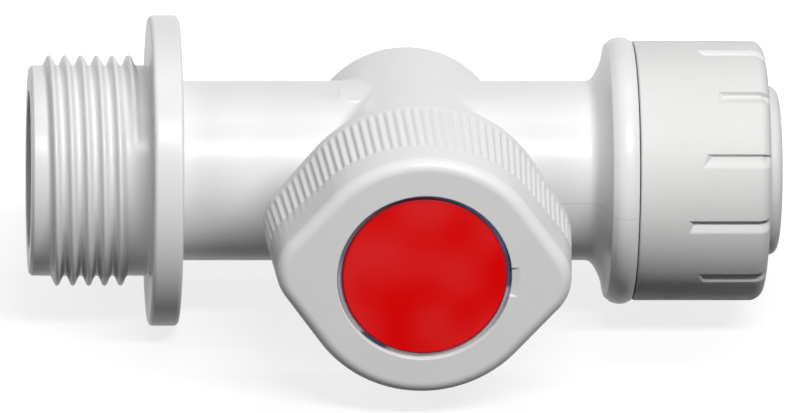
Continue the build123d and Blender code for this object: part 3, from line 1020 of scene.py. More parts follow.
@dataclass
class BodyMoulding:
    """One-piece body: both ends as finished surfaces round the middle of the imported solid."""

    centre_x: float
    middle: float = MIDDLE_HALF
    tube_r: float = TUBE_R
    weld: float = 1.0 * MICRON
    chamber_r: float = 11.3 * MM
    corner_r: float = 0.9 * MM
    corner_least: float = 0.02 * MM
    corner_from: float = 14.0
    corner_full: float = 60.0
    corner_sink: float = 0.96
    corner_columns: int = 240
    corner_rows: int = 9
    gate_r: float = 2.1 * MM
    gate_height: float = 0.12 * MM
    gate_x: float = -6.4 * MM
    gate_lean: float = 8.4
    gate_columns: int = 64

    def build(self, node: bpy.types.Object) -> bpy.types.Object:
        """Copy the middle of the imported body, where the chamber is, and put the finished surfaces to it.

        Args:
            node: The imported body.

        Returns:
            The finished piece, standing for the node.
        """
        copy = bmesh.new()
        copy.from_mesh(node.data)
        bmesh.ops.remove_doubles(copy, verts=copy.verts, dist=self.weld)
        for side in (-1.0, 1.0):
            everything = [*copy.verts, *copy.edges, *copy.faces]
            spot = (self.centre_x + side * self.middle, 0.0, 0.0)
            out = (side, 0.0, 0.0)
            bmesh.ops.bisect_plane(copy, geom=everything, plane_co=spot, plane_no=out, clear_outer=True)
            rims = [edge for edge in copy.edges if edge.is_boundary]
            bmesh.ops.bridge_loops(copy, edges=rims)
        bmesh.ops.triangulate(copy, faces=copy.faces)
        middle = bpy.data.meshes.new("body_middle")
        copy.to_mesh(middle)
        copy.free()
        shell = Shell()
        shell.add_mesh(middle)
        bpy.data.meshes.remove(middle)
        shell.add_grid(HoseEnd(self.centre_x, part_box(node.name)[0].x).grid(), close_rows=True)
        shell.add_grid(PipeEnd(self.centre_x).grid(), close_rows=True)
        for side in (-1.0, 1.0):
            shell.add_grid(self.corner(side), close_rows=True)
        shell.add_grid(self.gate_mark(), close_rows=False, pole_ends=True)
        piece = shell.piece("body_moulding", Body.VALVE, "body_white", 32.0)
        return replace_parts(piece, node.name)

    def corner(self, side: float) -> np.ndarray:
        """Fill the corner where the tube runs into the chamber with a hollow bead.

        The corner's line is where the tube's circle meets the chamber's: x is the root of the chamber
        radius squared less z squared. From a point set off along the tube to a point set off
        on the chamber, square to the line in the chamber's unrolled wall, the face is a quadratic
        curve that has the corner as its control point. The back of the bead lies inside the
        walls. It dies out at the back, where the chamber's end is level with the tube.

        Args:
            side: -1 for the hose side and 1 for the push-fit side.

        Returns:
            Points of shape (rows, columns, 3), with rows that close on themselves.
        """
        angle = np.linspace(0.0, 2.0 * np.pi, self.corner_columns, endpoint=False)
        y = self.tube_r * np.cos(angle)
        z = self.tube_r * np.sin(angle)
        x = np.sqrt(self.chamber_r**2 - z**2)
        from_back = np.minimum(angle, 2.0 * np.pi - angle)
        growth = smooth_step(from_back, math.radians(self.corner_from), math.radians(self.corner_full))
        reach = self.corner_r * growth + self.corner_least
        unrolled = self.chamber_r * np.arcsin(z / self.chamber_r)
        along_s = np.roll(unrolled, -1) - np.roll(unrolled, 1)
        along_y = np.roll(y, -1) - np.roll(y, 1)
        length = np.hypot(along_s, along_y)
        out_s = unrolled - reach * along_y / length
        out_y = y + reach * along_s / length
        inner = (out_s * unrolled + out_y * y) < (unrolled**2 + y**2)
        out_s = np.where(inner, 2.0 * unrolled - out_s, out_s)
        out_y = np.where(inner, 2.0 * y - out_y, out_y)
        line = np.stack([x, y, z], axis=1)
        on_tube = np.stack([x + reach, y, z], axis=1)
        turn = out_s / self.chamber_r
        on_chamber = np.stack([self.chamber_r * np.cos(turn), out_y, self.chamber_r * np.sin(turn)], axis=1)
        step = np.linspace(0.0, 1.0, self.corner_rows)[:, None, None]
        face = (1 - step) ** 2 * on_tube + 2 * step * (1 - step) * line + step**2 * on_chamber
        grid = np.concatenate([face, self.corner_sink * line[None]])
        grid[:, :, 0] = self.centre_x + side * grid[:, :, 0]
        return grid

    def gate_mark(self) -> np.ndarray:
        """Raise the round mark that the mould's gate left on the tube, beside the chamber.

        Rings of growing radius lie on the tube. Their height is a low plateau with a slight rim, and
        the outermost ring and the underside lie inside the wall.

        Returns:
            Points of shape (rows, columns, 3), closed by a pole at each end.
        """
        rings = np.array([0.05, 0.3, 0.55, 0.7, 0.8, 0.88, 0.94, 1.0, 1.0, 0.05]) * self.gate_r
        lift = np.array([0.45, 0.4, 0.35, 0.45, 0.9, 1.0, 0.6, -0.3, -8.0, -8.0]) * self.gate_height
        angle = np.linspace(0.0, 2.0 * np.pi, self.gate_columns, endpoint=False)
        along = rings[:, None] * np.cos(angle)
        lean = math.radians(self.gate_lean) + rings[:, None] * np.sin(angle) / self.tube_r
        radius = self.tube_r + lift[:, None] + np.zeros_like(along)
        x = self.centre_x + self.gate_x + along
        return np.stack([x, -radius * np.sin(lean), radius * np.cos(lean)], axis=2)


@dataclass
class EndCap:
    """Cap of the push-fit end: textured cylinder with a rounded mouth and a wave of wedge-shaped notches."""

    seam_x: float
    front_x: float
    outer_r: float = SEAM_R
    edge_r: float = 1.5 * MM
    seam_round: float = 0.3 * MM
    seam_gap: float = 0.13 * MM
    sleeve_r: float = SLEEVE_R
    sleeve_length: float = 6.0 * MM
    cone_r: float = 10.5 * MM
    throat_r: float = 9.0 * MM
    mouth_r: float = 10.0 * MM
    mouth_round: float = 0.25 * MM
    mouth_depth: float = 1.5 * MM
    throat_length: float = 2.6 * MM
    notches: int = 12
    notch_phase: float = -4.2
    notch_width: float = 1.5 * MM
    notch_depth: float = 0.5 * MM
    upper_run: float = 0.2 * MM
    lower_run: float = 0.9 * MM
    end_run: float = 0.55 * MM
    end_lead: float = 0.5 * MM
    end_tail: float = 1.1 * MM
    fade_from: float = 45.0
    fade_to: float = 88.0
    notch_length: float = 7.1 * MM
    wave: float = 1.7 * MM
    waves: int = 3
    shortest_at: float = 55.8
    softness: float = 0.04 * MM

    def columns(self) -> np.ndarray:
        """Space the columns closely across each notch's walls and widely between notches.

        Returns:
            Angles in radians from the front upwards.
        """
        pitch = 2.0 * np.pi / self.notches
        half = 0.5 * self.notch_width
        ramp = np.linspace(-half - self.upper_run, half - 1.75 * self.upper_run, 15) / self.outer_r
        wall = np.linspace(half - 1.5 * self.upper_run, half + 0.75 * self.upper_run, 13) / self.outer_r
        plain = np.linspace(wall[-1], pitch + ramp[0], 10)[1:-1]
        one = np.concatenate([ramp, wall, plain])
        starts = math.radians(self.notch_phase) + pitch * np.arange(self.notches)
        return (starts[:, None] + one[None, :]).ravel()

    def cut(self, along: np.ndarray, angle: np.ndarray) -> np.ndarray:
        """Work out how deep the notches are cut below the outer radius.

        Across a notch the depth grows with the distance below its upper edge, steeply, and above its
        lower edge, gently. Along it the depth grows with the distance past its inner end. The
        least of the three holds, rounded where the notch opens and where its floor begins. The
        inner ends lie on a cosine wave round the cap.

        Args:
            along: Places along X.
            angle: Angles from the front upwards, in radians.

        Returns:
            Depths from 0 to the floor's depth.
        """
        pitch = 2.0 * np.pi / self.notches
        offset = angle - math.radians(self.notch_phase)
        above = (offset - pitch * np.round(offset / pitch)) * self.outer_r
        upper = (0.5 * self.notch_width - above) / self.upper_run
        lower = (0.5 * self.notch_width + above) / self.lower_run
        inside = (along - self.inner_end(angle)) / self.end_run
        depth = self.notch_depth * np.minimum(np.minimum(upper, lower), inside)
        limit = 2.0 * self.notch_depth
        depth = soft_positive(np.clip(depth, -limit, limit), self.softness)
        return self.notch_depth - soft_positive(self.notch_depth - depth, self.softness)

    def inner_end(self, angle: np.ndarray) -> np.ndarray:
        """Find where the notches begin along X, at the outer radius."""
        wave = np.cos(self.waves * (angle - math.radians(self.shortest_at)))
        return self.front_x - (self.notch_length - self.wave * wave) - self.end_run

    def grid(self) -> np.ndarray:
        """Lay the outside, the mouth and the inside of the cap as one closed grid.

        Rows on the outside follow the wave of the notches' inner ends, so that a few rows carry each
        end wall. The notches are cut square to the plain outline, and run out over its rounded edge.

        Returns:
            Points of shape (rows, columns, 3), with rows that close on themselves.
        """
        angle = self.columns()
        ends = self.inner_end(angle)
        back_x = self.seam_x + self.seam_gap
        seam_centre = (back_x + self.seam_round, self.outer_r - self.seam_round)
        seam = arc(seam_centre, self.seam_round, 180.0, 90.0, 6)
        plain_from = seam[-1, 0]
        straight_to = self.front_x - self.edge_r
        share = np.linspace(0.0, 1.0, 6)[1:-1, None]
        plain = plain_from + share * (ends - self.end_lead - plain_from)
        end_wall = ends + np.linspace(-self.end_lead, self.end_tail, 18)[:, None]
        share = np.linspace(0.0, 1.0, 7)[1:, None]
        floor = end_wall[-1] + share * (straight_to - end_wall[-1])
        edge = arc((straight_to, self.outer_r - self.edge_r), self.edge_r, 90.0, 0.0, 20)[1:]
        lip_r = self.mouth_r + self.mouth_round
        flat = np.linspace([self.front_x, self.outer_r - self.edge_r], [self.front_x, lip_r], 4)[1:-1]
        mouth = arc((self.front_x - self.mouth_round, lip_r), self.mouth_round, 0.0, -90.0, 5)
        floor_x = self.front_x - self.mouth_depth
        throat_x = floor_x - self.throat_length
        sleeve_x = self.seam_x + self.sleeve_length
        inside = [
            (floor_x, self.mouth_r),
            (floor_x, self.throat_r),
            (throat_x, self.throat_r),
            (sleeve_x, self.cone_r),
            (sleeve_x, self.sleeve_r),
            (back_x, self.sleeve_r),
        ]
        wavy = np.concatenate([plain, end_wall, floor])
        rows = [self._rings(seam, angle), self._rings_at(wavy, angle), self._rings(edge, angle)]
        outside = np.concatenate(rows)
        along, radius = outside[..., 0], outside[..., 1]
        bend = np.arcsin(np.clip((along - straight_to) / self.edge_r, 0.0, 1.0))
        fade = smooth_step(bend, math.radians(self.fade_from), math.radians(self.fade_to))
        depth = self.cut(along, angle[None, :]) * (1.0 - fade)
        along = along - depth * np.sin(bend)
        radius = radius - depth * np.cos(bend)
        inner = self._rings(np.concatenate([flat, mouth, np.array(inside)]), angle)
        along = np.concatenate([along, inner[..., 0]])
        radius = np.concatenate([radius, inner[..., 1]])
        return np.stack([along, -radius * np.cos(angle), radius * np.sin(angle)], axis=2)

    def _rings(self, profile: np.ndarray, angle: np.ndarray) -> np.ndarray:
        """Repeat a profile of places and radii for every column."""
        return np.repeat(profile[:, None, :], len(angle), axis=1)

    def _rings_at(self, along: np.ndarray, angle: np.ndarray) -> np.ndarray:
        """Pair places that vary with the column with the plain outer radius."""
        return np.stack([along, np.full((len(along), len(angle)), self.outer_r)], axis=2)

    def build(self, node: bpy.types.Object) -> bpy.types.Object:
        """Make the cap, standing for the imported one.

        Args:
            node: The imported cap.

        Returns:
            The finished piece.
        """
        shell = Shell()
        shell.add_grid(self.grid(), close_rows=True)
        piece = shell.piece("cap_shell", Body.VALVE, "cap_white", 40.0)
        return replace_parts(piece, node.name)


@dataclass(frozen=True)
class LemonOutline:
    """Round outline drawn out to a rounded ear at each end of its long axis."""

    round_r: float
    ear_r: float
    half_length: float
    fineness: int = 400

    def points(self, columns: int) -> tuple[np.ndarray, np.ndarray]:
        """Space points evenly along the outline, which is made of four arcs and the lines between them.

        Args:
            columns: Number of points.

        Returns:
            Points and outward directions, each of shape (columns, 2).
        """
        ear_x = self.half_length - self.ear_r
        lean = math.degrees(math.acos((self.round_r - self.ear_r) / ear_x))
        arcs = [
            ((ear_x, 0.0), self.ear_r, -lean, lean),
            ((0.0, 0.0), self.round_r, lean, 180.0 - lean),
            ((-ear_x, 0.0), self.ear_r, 180.0 - lean, 180.0 + lean),
            ((0.0, 0.0), self.round_r, 180.0 + lean, 360.0 - lean),
        ]
        path = np.concatenate([arc(*piece, self.fineness) for piece in arcs])
        facing = np.concatenate([arc((0.0, 0.0), 1.0, *piece[2:], self.fineness) for piece in arcs])
        path = np.concatenate([path, path[:1]])
        facing = np.concatenate([facing, facing[:1]])
        travel = np.concatenate([[0.0], np.cumsum(np.hypot(*np.diff(path, axis=0).T))])
        place = np.linspace(0.0, travel[-1], columns, endpoint=False)
        spots = np.stack([np.interp(place, travel, path[:, k]) for k in range(2)], axis=1)
        normals = np.stack([np.interp(place, travel, facing[:, k]) for k in range(2)], axis=1)
        return spots, normals / np.linalg.norm(normals, axis=1, keepdims=True)


@dataclass
class TaperedSide:
    """Side between a back outline and a face outline, as columns that run from one to the other."""

    back: float
    face: float
    back_spots: np.ndarray
    face_spots: np.ndarray
    out: np.ndarray

    def spots(self, depth: np.ndarray | float) -> np.ndarray:
        """Go from the back's outline to the face's in step with the depth.

        Args:
            depth: Place along the axis, one for all columns or one for each.

        Returns:
            Points (across, up) of shape (columns, 2).
        """
        share = (np.broadcast_to(depth, len(self.out)) - self.back) / (self.face - self.back)
        return (1.0 - share[:, None]) * self.back_spots + share[:, None] * self.face_spots

    def row(self, depth: np.ndarray | float, inset: np.ndarray | float) -> np.ndarray:
        """Place the outline at a depth, drawn in square to itself.

        Args:
            depth: Place along the axis, one for all columns or one for each.
            inset: Length to draw it in by, one for all columns or one for each.

        Returns:
            Points (across, up, depth) of shape (columns, 3).
        """
        columns = len(self.out)
        spots = self.spots(depth) - np.broadcast_to(inset, columns)[:, None] * self.out
        return np.concatenate([spots, np.broadcast_to(depth, columns)[:, None]], axis=1)


def round_row(angle: np.ndarray, radius: np.ndarray | float, depth: np.ndarray | float) -> np.ndarray:
    """Place a row of points (across, up, depth) at angles round an axis, by a radius and a depth."""
    depth = np.broadcast_to(depth, angle.shape)
    return np.stack([radius * np.cos(angle), radius * np.sin(angle), depth], axis=1)


@dataclass
class TurnKnob:
    """Hollow tapered knob with an ear at each end, rounded ribs behind an arched line and a recessed face."""

    centre_x: float
    back: float
    face: float
    rest_turn: float = 2.9
    back_outline: LemonOutline = LemonOutline(15.4 * MM, 5.74 * MM, 17.6 * MM)
    face_outline: LemonOutline = LemonOutline(14.1 * MM, 5.4 * MM, 16.6 * MM)
    edge_r: float = 1.3 * MM
    back_round: float = 0.25 * MM
    plain_rim: float = 0.9 * MM
    run_out: float = 1.5 * MM
    rib_end: float = 28.9 * MM
    rib_end_drop: float = 3.8 * MM
    ribs: int = 96
    rib_depth: float = 0.2 * MM
    columns_per_rib: int = 10
    wall: float = 2.05 * MM
    front_wall: float = 1.6 * MM
    recess_r: float = 9.85 * MM
    recess_depth: float = 1.0 * MM
    recess_round: float = 0.12 * MM
    pry_width: float = 3.2 * MM
    pry_reach: float = 0.9 * MM
    pry_depth: float = 0.25 * MM
    pry_soft: float = 0.15 * MM
    pry_margin: float = 0.08 * MM
    hub_r: float = 6.2 * MM
    hub_setback: float = 0.6 * MM
    hub_columns: int = 128
    web: float = 1.3 * MM
    drive_square: float = 6.2 * MM

    def build(self, node: bpy.types.Object) -> bpy.types.Object:
        """Make the knob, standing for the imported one.

        Args:
            node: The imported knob.

        Returns:
            The finished piece.
        """
        shell = Shell()
        shell.add_grid(self.turned(self.cover()), close_rows=False, pole_ends=True)
        for inside in (self.hub(), self.web_box(0.0), self.web_box(90.0)):
            shell.add_grid(self.turned(inside), close_rows=True)
        piece = shell.piece("knob_cover", Body.KNOB, "knob_white", 40.0)
        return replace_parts(piece, node.name)

    def turned(self, grid: np.ndarray) -> np.ndarray:
        """Stand a grid at the knob's place, turned to its rest angle.

        Args:
            grid: Points (across, up, depth) of shape (rows, columns, 3).

        Returns:
            Points (x, y, z) of the same shape.
        """
        turn = math.radians(self.rest_turn)
        across, up, depth = np.moveaxis(grid, 2, 0)
        x = self.centre_x + across * math.cos(turn) + up * math.sin(turn)
        z = up * math.cos(turn) - across * math.sin(turn)
        return np.stack([x, -depth, z], axis=2)

    def cover(self) -> np.ndarray:
        """Lay the knob's skin from the middle of its hollow, over rim, ribs and face, to the recess's middle.

        Each outside row is the outline between the back's and the face's at its depth, drawn in by
        the groove or the rounded edge. Rows on the face run from the outline to the recess's
        circle at the same angle.

        Returns:
            Points (across, up, depth) of shape (rows, columns, 3).
        """
        columns = self.ribs * self.columns_per_rib
        back_spots, out = self.back_outline.points(columns)
        face_spots, _ = self.face_outline.points(columns)
        side = TaperedSide(self.back, self.face, back_spots, face_spots, out)
        rows = [*self._hollow_rows(side), *self._ribbed_rows(side), *self._edge_rows(side)]
        return np.stack([*rows, *self._face_rows(rows[-1])])

    def _hollow_rows(self, side: TaperedSide) -> list[np.ndarray]:
        """Lay the rows of the hollow, from its middle over its floor and wall to the rounded back rim.

        Args:
            side: The knob's side.

        Returns:
            The rows in order.
        """
        floor_depth = self.face - self.recess_depth - self.front_wall
        floor = side.row(floor_depth, self.wall)
        rows = [floor * [share, share, 1.0] for share in (0.02, 0.35, 0.7)]
        halfway = 0.6 * floor_depth + 0.4 * self.back
        rows += [side.row(depth, self.wall) for depth in (floor_depth, halfway, self.back + self.back_round)]
        turns = np.radians(np.linspace(0.0, 90.0, 4))
        for turn in turns[1:]:
            depth = self.back + self.back_round * (1.0 - math.sin(turn))
            rows.append(side.row(depth, self.wall - self.back_round * (1.0 - math.cos(turn))))
        for turn in turns:
            depth = self.back + self.back_round * (1.0 - math.cos(turn))
            rows.append(side.row(depth, self.back_round * (1.0 - math.sin(turn))))
        return rows

    def _rib_stop(self, across: np.ndarray) -> np.ndarray:
        """Find where the ribs end along the knob's axis.

        They end on an arch, which is a circle with its top at the middle of the knob: its radius is
        half the chord squared plus the drop squared, divided by twice the drop.

        Args:
            across: Places along the knob's long axis.

        Returns:
            Depths, one for each place.
        """
        half = self.back_outline.half_length
        arch_r = (half**2 + self.rib_end_drop**2) / (2.0 * self.rib_end_drop)
        return self.rib_end - arch_r + np.sqrt(np.maximum(arch_r**2 - across**2, 0.0))

    def _groove(
        self, across: np.ndarray, depth: np.ndarray | float, travel: np.ndarray, spacing: float
    ) -> np.ndarray:
        """Work out how deep the grooves between ribs are cut.

        A groove is a rounded trough along the depth with a half-round end on the arch: the distance
        from its middle line, or past the end from the end's centre, sets the depth by a raised cosine.
        The grooves run out slowly towards the back, where a plain rim runs round.

        Args:
            across: Places along the knob's long axis.
            depth: Places along the knob's axis.
            travel: Lengths along the outline.
            spacing: Length of one rib and groove along the outline.

        Returns:
            Depths from 0 to the ribs' depth.
        """
        half = 0.5 * spacing
        middle = travel - spacing * (np.floor(travel / spacing) + 0.5)
        past = np.maximum(depth - (self._rib_stop(across) - half), 0.0)
        short = np.maximum(self.back + self.plain_rim + self.run_out - depth, 0.0) * half / self.run_out
        away = np.clip(np.sqrt(middle**2 + past**2 + short**2) / half, 0.0, 1.0)
        return self.rib_depth * (0.5 + 0.5 * np.cos(np.pi * away))

    def _ribbed_rows(self, side: TaperedSide) -> list[np.ndarray]:
        """Lay the rows of the ribbed side, close together where the grooves run out and where they end.

        Args:
            side: The knob's side.

        Returns:
            The rows in order, from the plain rim to the rounded edge.
        """
        step = np.linalg.norm(np.diff(side.back_spots, axis=0, append=side.back_spots[:1]), axis=1)
        spacing = step.sum() / self.ribs
        travel = np.linspace(0.0, step.sum(), len(step), endpoint=False)
        stop = self._rib_stop(side.back_spots[:, 0])
        rib_from = self.back + self.plain_rim
        full_from = rib_from + self.run_out
        full_run = stop - 0.6 * spacing - full_from
        past_from = stop + 0.1 * spacing
        past_run = self.face - self.edge_r - past_from
        depths = [rib_from + share * self.run_out for share in np.linspace(0.0, 1.0, 8)]
        depths += [full_from + share * full_run for share in (0.33, 0.66, 1.0)]
        depths += [stop + share * spacing for share in np.linspace(-0.55, 0.05, 9)]
        depths += [past_from + share * past_run for share in (0.4, 0.8, 0.97)]
        rows = []
        for depth in depths:
            across = side.spots(depth)[:, 0]
            rows.append(side.row(depth, self._groove(across, depth, travel, spacing)))
        return rows

    def _edge_rows(self, side: TaperedSide) -> list[np.ndarray]:
        """Lay the rows of the rounded edge between side and face, as a quarter circle.

        Args:
            side: The knob's side.

        Returns:
            The rows in order, the last of them on the face.
        """
        turns = np.radians(np.linspace(0.0, 90.0, 13))
        depths = self.face - self.edge_r * (1.0 - np.sin(turns))
        insets = self.edge_r * (1.0 - np.cos(turns))
        return [side.row(depth, inset) for depth, inset in zip(depths, insets)]

    def _face_rows(self, rim: np.ndarray) -> list[np.ndarray]:
        """Lay the rows of the face, the notch that the disc is prised out by, and the disc's recess.

        Args:
            rim: The row where the face begins.

        Returns:
            The rows in order, the last of them close round the recess's middle.
        """
        angle = np.arctan2(rim[:, 1], rim[:, 0])
        half = 0.5 * self.pry_width
        beside = smooth_step(np.abs(angle) * self.recess_r, half - self.pry_soft, half + self.pry_soft)
        sunk = self.pry_depth * (1.0 - beside)
        ramp_from = self.recess_r + self.recess_round
        ramp_to = self.recess_r + self.pry_reach
        outer = round_row(angle, ramp_to + self.pry_margin, self.face)
        rows = [(1.0 - share) * rim + share * outer for share in (0.04, 0.35, 0.7, 0.97)]
        for share in (1.0, 0.85, 0.5, 0.1):
            radius = ramp_from + share * (ramp_to - ramp_from)
            rows.append(round_row(angle, radius, self.face - (1.0 - share) * sunk))
        for turn in np.radians(np.linspace(0.0, 90.0, 4)):
            radius = self.recess_r + self.recess_round * (1.0 - math.sin(turn))
            drop = self.recess_round * (1.0 - math.cos(turn))
            rows.append(round_row(angle, radius, self.face - drop - sunk))
        floor = self.face - self.recess_depth
        rows += [round_row(angle, share * self.recess_r, floor) for share in (1.0, 0.9, 0.5, 0.02)]
        return rows

    def hub(self) -> np.ndarray:
        """Make the hub round the square drive: a round tube with a square hole.

        Returns:
            Points (across, up, depth), with rows that close on themselves.
        """
        angle = np.linspace(0.0, 2.0 * np.pi, self.hub_columns, endpoint=False)
        half = 0.5 * self.drive_square
        square = half / np.maximum(np.abs(np.cos(angle)), np.abs(np.sin(angle)))
        low, high = self.back + self.hub_setback, self.face - self.recess_depth - 0.5 * self.front_wall
        rings = [(square, low), (self.hub_r, low), (self.hub_r, high), (square, high)]
        return np.stack([round_row(angle, radius, depth) for radius, depth in rings])

    def web_box(self, turn: float) -> np.ndarray:
        """Make one pair of webs from the hub to the wall, as a flat box ring round the hub's hole.

        Args:
            turn: Angle of the web's line in degrees.

        Returns:
            Points (across, up, depth), with rows that close on themselves.
        """
        to_wall = self.back_outline.half_length if turn == 0.0 else self.back_outline.round_r
        reach = to_wall - 0.6 * self.wall - self.rib_depth
        low, high = self.back + 2.0 * self.hub_setback, self.face - self.recess_depth - 0.5 * self.front_wall
        half = 0.5 * self.web
        loop = np.array([(-reach, -half), (reach, -half), (reach, half), (-reach, half)])
        hole = loop * [0.5 * self.drive_square / reach + 0.05, 0.5]
        spin = np.radians(turn)
        rows = []
        for outline, depth in ((hole, low), (loop, low), (loop, high), (hole, high)):
            across = outline[:, 0] * np.cos(spin) - outline[:, 1] * np.sin(spin)
            up = outline[:, 0] * np.sin(spin) + outline[:, 1] * np.cos(spin)
            rows.append(np.stack([across, up, np.full(len(outline), depth)], axis=1))
        return np.stack(rows)


@dataclass
class DiscBacking:
    """Backing of the disc, in blue print with painted light and painted shade, seen as a thin ring between
    the disc and the recess's wall.
    """

    centre_x: float
    floor: float
    inner_r: float = 9.0 * MM
    outer_r: float = 9.8 * MM
    thick: float = 0.3 * MM
    sunk: float = 0.05 * MM
    edge_round: float = 0.1 * MM
    columns: int = 192

    def build(self) -> bpy.types.Object:
        """Make the ring by turning a softened strip round the knob's axis.

        Returns:
            The finished piece.
        """
        low, high = self.floor - self.sunk, self.floor + self.thick
        profile = softened(
            [
                (low, self.inner_r, 0.0),
                (high, self.inner_r, 0.0),
                (high, self.outer_r, self.edge_round),
                (low, self.outer_r, 0.0),
            ]
        )
        depth, across, up = np.moveaxis(spin_x(profile, self.columns), 2, 0)
        shell = Shell()
        shell.add_grid(np.stack([self.centre_x + across, -depth, up], axis=2), close_rows=True)
        return shell.piece("disc_backing", Body.KNOB, "disc_red", 40.0)


# Studio


@dataclass
class PhotoCamera:
    """Camera at the photograph's viewing angle, worked out for a frame of 800 by 413 pixels."""

    centre_x: float
    azimuth: float = -3.6
    elevation: float = 21.8
    roll: float = 1.33
    distance: float = 1.6
    pixels_per_mm: float = 8.72
    frame_width: float = 800.0
    frame_height: float = 413.0
    centre_pixel: Spot = (408.7, 170.4)
    sensor: float = 36.0

    def place(self) -> None:
        """Put the camera where the valve's centre falls on its pixel in the frame."""
        azimuth, elevation, roll = (math.radians(a) for a in (self.azimuth, self.elevation, self.roll))
        flat = math.cos(elevation)
        towards = Vector((flat * math.sin(azimuth), -flat * math.cos(azimuth), math.sin(elevation)))
        level = (-towards).cross(Vector((0.0, 0.0, 1.0))).normalized()
        above = level.cross(-towards)
        right = math.cos(roll) * level + math.sin(roll) * above
        up = math.cos(roll) * above - math.sin(roll) * level
        pixel = MM / self.pixels_per_mm
        off_right = (self.centre_pixel[0] - 0.5 * self.frame_width) * pixel
        off_up = (0.5 * self.frame_height - self.centre_pixel[1]) * pixel
        eye = Vector((self.centre_x, 0.0, 0.0)) + towards * self.distance - off_right * right - off_up * up
        data = bpy.data.cameras.new("photo_camera")
        data.sensor_fit = "HORIZONTAL"
        data.sensor_width = self.sensor
        focal_pixels = self.pixels_per_mm * self.distance / MM
        data.lens = focal_pixels * self.sensor / self.frame_width
        data.clip_start, data.clip_end = 0.05, 20.0
        camera = bpy.data.objects.new("photo_camera", data)
        facing = Matrix((right, up, towards)).transposed().to_4x4()
        camera.matrix_world = Matrix.Translation(eye) @ facing
        bpy.context.scene.collection.objects.link(camera)
        bpy.context.scene.camera = camera


@dataclass
class StripLight:
    """Soft rectangular light, as a rule a long strip hung further out on the push-fit side."""

    name: str
    elevation: float
    power: float
    distance: float = 0.62
    length: float = 0.46
    width: float = 0.08
    offset: float = 0.17
    mirrored: bool = True

    def place(self, centre_x: float) -> None:
        """Hang the light in front of, above or behind the valve, facing its long axis.

        Args:
            centre_x: Place of the valve's centre along X.
        """
        data = bpy.data.lights.new(self.name, "AREA")
        data.shape = "RECTANGLE"
        data.size, data.size_y = self.length, self.width
        data.energy = self.power
        light = bpy.data.objects.new(self.name, data)
        angle = math.radians(self.elevation)
        towards = Vector((0.0, -math.cos(angle), math.sin(angle)))
        across = Vector((1.0, 0.0, 0.0))
        facing = Matrix((across, towards.cross(across), towards)).transposed().to_4x4()
        spot = Vector((centre_x + self.offset, 0.0, 0.0)) + self.distance * towards
        light.matrix_world = Matrix.Translation(spot) @ facing
        light.visible_camera = False
        light.visible_glossy = self.mirrored
        bpy.context.scene.collection.objects.link(light)


@dataclass
class Studio:
    """Pale floor, plain world, lights in front, above and behind, and a fill on the thread's side."""

    floor_z: float
    centre_x: float
    floor_half: float = 4.0
    floor_glow: float = 0.80
    glow_rise: float = 0.25
    glow_from: float = 30.0 * MM
    glow_to: float = 95.0 * MM
    floor_tint: float = 0.22
    floor_bounce: float = 0.03
    ambient: float = 0.02

    def place(self) -> None:
        """Lay the floor, set the world and hang the lights."""
        half = self.floor_half
        mesh = bpy.data.meshes.new("studio_floor")
        corners = [(-half, -half), (half, -half), (half, half), (-half, half)]
        mesh.from_pydata([(x, y, self.floor_z) for x, y in corners], [], [(0, 1, 2, 3)])
        floor = bpy.data.objects.new("studio_floor", mesh)
        bpy.context.scene.collection.objects.link(floor)
        floor.data.materials.append(self.floor_material())
        floor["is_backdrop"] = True
        self.set_world()
        lights = (
            StripLight("front_strip", 49.0, 4.1),
            StripLight("thread_fill", 38.0, 1.1, length=0.3, width=0.3, offset=-0.45, mirrored=False),
            StripLight("top_strip", 90.0, 0.6),
            StripLight("back_strip", 168.0, 1.0, width=0.16, offset=0.0, mirrored=False),
        )
        for light in lights:
            light.place(self.centre_x)

    def seen(self, sheet: NodeSheet) -> Socket:
        """Tell rays that show the background, seen or mirrored, from those that light the object.

        Args:
            sheet: The sheet of the floor or the world.

        Returns:
            A socket that is 1 for rays that show it and 0 for the others.
        """
        rays = sheet.add("ShaderNodeLightPath").outputs
        shown = sheet.math("MAXIMUM", rays["Is Camera Ray"], rays["Is Glossy Ray"])
        return sheet.math("MAXIMUM", shown, rays["Is Transmission Ray"])

    def floor_material(self) -> bpy.types.Material:
        """Draw the floor: white with the object's shadow where it is seen, and dim where it sends light back.

        Returns:
            The material, a little brighter away from the object.
        """
        material, sheet, shader = new_material("pale_floor")
        material.node_tree.nodes.remove(shader)
        out = material.node_tree.nodes["Material Output"]
        glow = sheet.add("ShaderNodeEmission")
        place = sheet.add("ShaderNodeTexCoord").outputs["Object"]
        away = sheet.vector("LENGTH", sheet.vector("SUBTRACT", place, (self.centre_x, 0.0, self.floor_z)))
        brightest = self.floor_glow + self.glow_rise
        level = sheet.spread(away, self.glow_from, self.glow_to, self.floor_glow, brightest)
        sheet.join(level, glow.inputs["Strength"])
        paint = sheet.add("ShaderNodeBsdfDiffuse", {"Color": colour(*[self.floor_tint] * 3)})
        both = sheet.add("ShaderNodeAddShader")
        sheet.join(glow.outputs[0], both.inputs[0])
        sheet.join(paint.outputs[0], both.inputs[1])
        dim = sheet.add("ShaderNodeBsdfDiffuse", {"Color": colour(*[self.floor_bounce] * 3)})
        mix = sheet.add("ShaderNodeMixShader")
        sheet.join(self.seen(sheet), mix.inputs[0])
        sheet.join(dim.outputs[0], mix.inputs[1])
        sheet.join(both.outputs[0], mix.inputs[2])
        sheet.join(mix.outputs[0], out.inputs["Surface"])
        return material

    def set_world(self) -> None:
        """Make the world white where it is seen and a low even light elsewhere."""
        world = bpy.data.worlds.new("studio_world")
        bpy.context.scene.world = world
        world.use_nodes = True
        sheet = NodeSheet(world.node_tree)
        background = world.node_tree.nodes["Background"]
        background.inputs["Color"].default_value = colour(1.0, 1.0, 1.0)
        sheet.join(sheet.spread(self.seen(sheet), 0.0, 1.0, self.ambient, 1.0), background.inputs["Strength"])


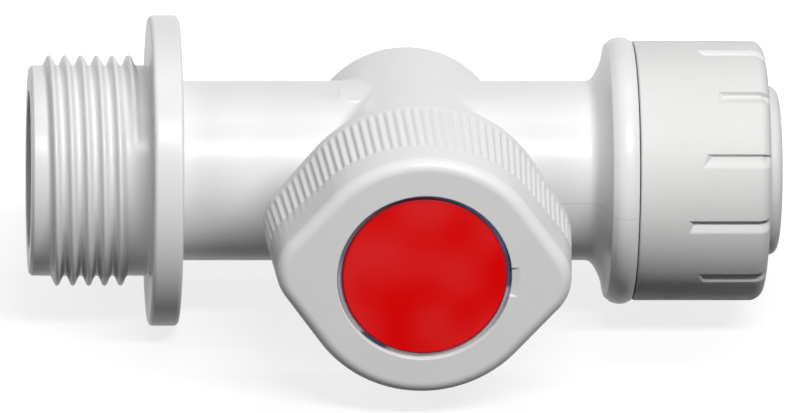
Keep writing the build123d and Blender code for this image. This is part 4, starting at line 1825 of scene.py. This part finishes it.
def main() -> None:
    """Build every sub-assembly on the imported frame, dress it and light it."""
    logging.basicConfig(level=logging.INFO, format="%(name)s: %(message)s")
    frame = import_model()
    cad_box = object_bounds()
    nodes = frame["nodes"]
    centre_x = next(joint for joint in frame["joints"] if joint["name"] == "knob_turn")["pos_m"][0]

    groups = SkinGroups()
    body_skin = BODY_GLOSS.make(groups)
    cap_skin = CAP_MATTE.make(groups)
    knob_skin = KNOB_SATIN.make(groups)
    collet_skin = COLLET_SATIN.make(groups)
    inner_skin = INNER_WHITE.make(groups)
    seat_skin = SEAT_MILKY.make(groups)
    rubber = SEAL_BLACK.make()
    steel = GRIP_STEEL.make()

    dress(BodyMoulding(centre_x).build(nodes["valve_body"]), body_skin)
    cap_low, cap_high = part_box("end_cap")
    dress(EndCap(cap_low.x, cap_high.x).build(nodes["end_cap"]), cap_skin)
    knob_low, knob_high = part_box("knob")
    dress(TurnKnob(centre_x, -knob_high.y, -knob_low.y).build(nodes["knob"]), knob_skin)

    disc_low, disc_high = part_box("indicator_disc")
    disc_centre = tuple(0.5 * (disc_low + disc_high))
    disc_skin = DiscFinish("disc_red_paint", disc_centre, 0.5 * (disc_high.z - disc_low.z)).make()
    # the ring's material is blue print with painted light and painted shade laid by angle
    dress(DiscBacking(centre_x, -disc_high.y).build(), BackingFinish("disc_blue_print", disc_centre).make())
    kept = {
        "indicator_disc": disc_skin,
        "collet": collet_skin,
        "collet_teeth": steel,
        "knob_screw": steel,
        "inlet_seat": seat_skin,
        "outlet_seat": seat_skin,
        "thrust_washer": seat_skin,
        "plug": inner_skin,
        "bonnet": inner_skin,
        "inlet_seat_retainer": inner_skin,
        "outlet_seat_retainer": inner_skin,
        "pipe_seal_washer": inner_skin,
    }
    for name, node in nodes.items():
        if node.hide_render:
            continue
        dress(node, kept.get(name, rubber))
        LOG.info("%s: packed solid, finish %s", name, kept.get(name, rubber).name)

    Studio(cad_box[0].z, centre_x).place()
    PhotoCamera(centre_x).place()
    bpy.context.scene.view_settings.view_transform = "Standard"


if __name__ == "__main__":
    main()
